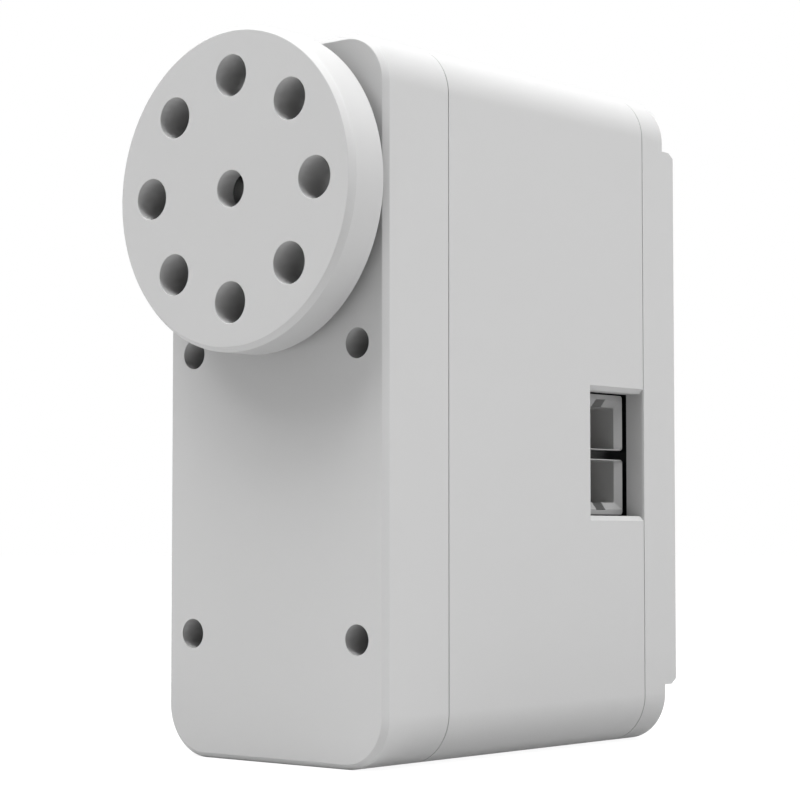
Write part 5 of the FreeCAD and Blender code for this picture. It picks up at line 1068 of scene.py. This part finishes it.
class CaseScrews(ServoOperator, bpy.types.Operator):
    """Four long screws with cross recesses and cut threads"""

    bl_idname = "servo.case_screws"
    bl_label = "Case screws"

    def execute(self, context):
        s = self.sizes(context)
        _, _, places, _ = case_places(s)
        low, high = corners_of("case_screws")
        tip, top, head, shank = low[1], high[1], s.screw_head, s.screw_shank
        seat, thread_start = top - s.head_height, tip + s.thread_length
        angle = np.arange(SCREW_STEPS) * 2 * np.pi / SCREW_STEPS

        def rings(radii, along):
            """Rows of points: each row is a circle of its radius at its place along the axis."""
            radii, along = np.broadcast_arrays(radii, along, np.zeros(SCREW_STEPS))[:2]
            return np.stack([radii * np.cos(angle), along, radii * np.sin(angle)], -1)

        # The crown is a flattened quarter circle, and the recess is the deeper of two crossed slots
        rise = np.linspace(0, np.pi / 2, SCREW_DOME_ROWS)[:, None]
        x, _, z = np.moveaxis(rings(head * np.sin(rise), 0), -1, 0)
        slim, wide = np.minimum(np.abs(x), np.abs(z)), np.maximum(np.abs(x), np.abs(z))
        cross = np.clip((s.cross_half - slim) / s.cross_side, 0, 1)
        cross = cross * np.clip((s.cross_reach - wide) / s.cross_end, 0, 1)
        crown = s.head_crown * (1 - np.cos(rise)) ** 1.5
        dome = rings(head * np.sin(rise), top - crown - s.cross_depth * cross)

        # The thread is a groove of triangular section that winds once in each pitch
        threaded = np.linspace(thread_start, tip + s.thread_run, SCREW_THREAD_ROWS)
        along = np.append(seat - s.soft, threaded)[:, None]
        phase = (along / s.thread_pitch - angle / (2 * np.pi)) % 1
        faded = np.clip((thread_start - along) / s.thread_run, 0, 1)
        shaft = rings(shank - s.thread_depth * np.abs(phase - 0.5) * 2 * faded, along)

        under = rings(np.array([[head], [head - s.head_edge], [shank]]),
                      np.array([[seat + s.head_edge], [seat], [seat]]))
        point = rings(np.array([[s.screw_point], [0.0]]), tip)
        rows = np.concatenate([dome, under, shaft, point])
        one = turned(rows)
        all_four = joined([(one[0] + (spot[0], 0, spot[1]), one[1]) for spot in places])
        piece("long_screws", all_four, FINISHES["screw_steel"], "case", "screw_steel", "case_screws")
        return {"FINISHED"}


class InnerFinishes(ServoOperator, bpy.types.Operator):
    """Finishes on every node of the frame that keeps its own shape"""

    bl_idname = "servo.inner_finishes"
    bl_label = "Inner finishes"

    def execute(self, context):
        self.sizes(context)
        for part in frame["record"]["subparts"]:
            mesh = frame["nodes"][part["node"]].data
            mesh.materials.clear()
            mesh.materials.append(FINISHES[part["material_slot"]])
        return {"FINISHED"}


# The stage: places of the lamps in metres and their powers in watts, and the camera's place in
# millimetres, with its turn about the vertical and its tilt upwards

FLOOR_RADIUS = 1.5
FLOOR_STEPS = 96
FLOOR_WHITE = 1.34
FLOOR_WHITE_SHARE = 0.7
SKY_STRENGTH = 0.6
LAMP_WIDTH = 0.3
LAMPS = (
    ("overhead", (0, -0.12, 0.5), 1.92),
    ("upper_right", (0.3, 0.1, 0.4), 1.62),
    ("upper_left", (-0.2, -0.25, 0.42), 1.17),
)
CAMERA_LENS = 102.2
CAMERA_SHIFT = (-0.0066, 0.0114)
CAMERA_PLACE = (105.04, -104.90, -22.69)
CAMERA_YAW = math.radians(40.6)
CAMERA_PITCH = math.radians(3.167)


class Stage(ServoOperator, bpy.types.Operator):
    """Pale floor, soft lamps and the camera"""

    bl_idname = "servo.stage"
    bl_label = "Stage"

    def execute(self, context):
        scene = context.scene
        scene.view_settings.view_transform = "Standard"
        self.make_floor(scene, scene.servo_colours.floor)
        self.make_world(scene)
        self.make_lamps(scene)
        self.make_camera(scene)
        return {"FINISHED"}

    def make_floor(self, scene, tint):
        """A flat round floor at the case's lowest level. Where it is seen directly, most of it is
        its own white, and the rest is lit and holds the shadow."""
        level, rim = CAD_BOX[0][2], circle((0, 0), FLOOR_RADIUS, FLOOR_STEPS)
        mesh = bpy.data.meshes.new("floor")
        mesh.from_pydata([(x, y, level) for x, y in rim.tolist()], [], [list(range(FLOOR_STEPS))])
        floor = bpy.data.objects.new("floor", mesh)
        scene.collection.objects.link(floor)
        material = bpy.data.materials.new("floor")
        material.use_nodes = True
        tree = material.node_tree
        lit = tree.nodes["Principled BSDF"]
        lit.inputs["Base Color"].default_value = tint
        lit.inputs["Roughness"].default_value = 0.9
        lit.inputs["Specular IOR Level"].default_value = 0.0
        white = add(tree, "ShaderNodeEmission", in_1=FLOOR_WHITE)
        share = add(tree, "ShaderNodeMath", operation="MULTIPLY", in_1=FLOOR_WHITE_SHARE)
        mix = add(tree, "ShaderNodeMixShader")
        chain(tree, self.seen_directly(tree), share, mix)
        tree.links.new(lit.outputs[0], mix.inputs[1])
        tree.links.new(white.outputs[0], mix.inputs[2])
        tree.links.new(mix.outputs[0], tree.nodes["Material Output"].inputs["Surface"])
        mesh.materials.append(material)

    def seen_directly(self, tree):
        """One for what the camera sees, also through gloss and glass, and nothing for the rest."""
        path = add(tree, "ShaderNodeLightPath")
        seen = path.outputs["Is Camera Ray"]
        for kind in ("Is Glossy Ray", "Is Transmission Ray"):
            either = add(tree, "ShaderNodeMath", operation="MAXIMUM")
            tree.links.new(path.outputs[kind], either.inputs[1])
            seen = chain(tree, seen, either)
        return seen

    def make_world(self, scene):
        """White where it is seen directly. The rest gets a soft light from above, whose strength
        is in proportion to how far a direction points up."""
        world = bpy.data.worlds.new("studio")
        world.use_nodes = True
        tree = world.node_tree
        soft = tree.nodes["Background"]
        soft.inputs["Color"].default_value = (1, 1, 1, 1)
        direction = add(tree, "ShaderNodeTexCoord")
        parts = add(tree, "ShaderNodeSeparateXYZ")
        above = add(tree, "ShaderNodeMath", operation="MAXIMUM", in_1=0.0)
        strength = add(tree, "ShaderNodeMath", operation="MULTIPLY", in_1=SKY_STRENGTH)
        tree.links.new(direction.outputs["Generated"], parts.inputs[0])
        tree.links.new(chain(tree, parts.outputs["Z"], above, strength), soft.inputs["Strength"])
        white = add(tree, "ShaderNodeBackground")
        white.inputs["Color"].default_value = (1, 1, 1, 1)
        mix = add(tree, "ShaderNodeMixShader")
        tree.links.new(self.seen_directly(tree), mix.inputs[0])
        tree.links.new(soft.outputs[0], mix.inputs[1])
        tree.links.new(white.outputs[0], mix.inputs[2])
        tree.links.new(mix.outputs[0], tree.nodes["World Output"].inputs["Surface"])
        scene.world = world

    def make_lamps(self, scene):
        """Three wide round lamps over the case, which face its middle."""
        middle = Vector(np.mean(CAD_BOX, 0))
        for name, place, power in LAMPS:
            lamp = bpy.data.lights.new(name, "AREA")
            lamp.shape = "DISK"
            lamp.size = LAMP_WIDTH
            lamp.energy = power
            item = bpy.data.objects.new(name, lamp)
            item.location = place
            item.rotation_euler = (middle - item.location).to_track_quat("-Z", "Y").to_euler()
            scene.collection.objects.link(item)

    def make_camera(self, scene):
        """A camera that looks a little upwards at the front and the right side."""
        camera = bpy.data.cameras.new("camera")
        camera.sensor_width = 36.0
        camera.lens = CAMERA_LENS
        camera.shift_x, camera.shift_y = CAMERA_SHIFT
        camera.clip_start = MM
        item = bpy.data.objects.new("camera", camera)
        scene.collection.objects.link(item)
        yaw, pitch = CAMERA_YAW, CAMERA_PITCH
        ahead = Vector((-math.sin(yaw) * math.cos(pitch), math.cos(yaw) * math.cos(pitch), math.sin(pitch)))
        right = Vector((math.cos(yaw), math.sin(yaw), 0))
        turn = Matrix((right, right.cross(ahead), -ahead)).transposed().to_4x4()
        item.matrix_world = Matrix.Translation(Vector(CAMERA_PLACE) * MM) @ turn
        scene.camera = item


PIECES = (FrontShell, MiddleShell, RearShell, Horn, Sockets, Contacts, CaseScrews, InnerFinishes, Stage)


class ServoPanel(bpy.types.Panel):
    """The servo's pieces, sizes and colours"""

    bl_idname = "VIEW3D_PT_servo"
    bl_label = "Serial bus servo"
    bl_space_type = "VIEW_3D"
    bl_region_type = "UI"
    bl_category = "Servo"

    def draw(self, context):
        for operator in PIECES:
            self.layout.operator(operator.bl_idname)
        for group in (context.scene.servo_sizes, context.scene.servo_colours):
            column = self.layout.column()
            for name in group.bl_rna.properties.keys():
                if name not in ("rna_type", "name"):
                    column.prop(group, name)


CLASSES = (ServoSizes, ServoColours, *PIECES, ServoPanel)


def register():
    for item in CLASSES:
        bpy.utils.register_class(item)
    bpy.types.Scene.servo_sizes = bpy.props.PointerProperty(type=ServoSizes)
    bpy.types.Scene.servo_colours = bpy.props.PointerProperty(type=ServoColours)


def unregister():
    del bpy.types.Scene.servo_colours
    del bpy.types.Scene.servo_sizes
    for item in reversed(CLASSES):
        bpy.utils.unregister_class(item)


def main():
    """Builds the whole scene."""
    register()
    for operator in PIECES:
        group, name = operator.bl_idname.split(".")
        getattr(getattr(bpy.ops, group), name)()


if __name__ == "__main__":
    main()
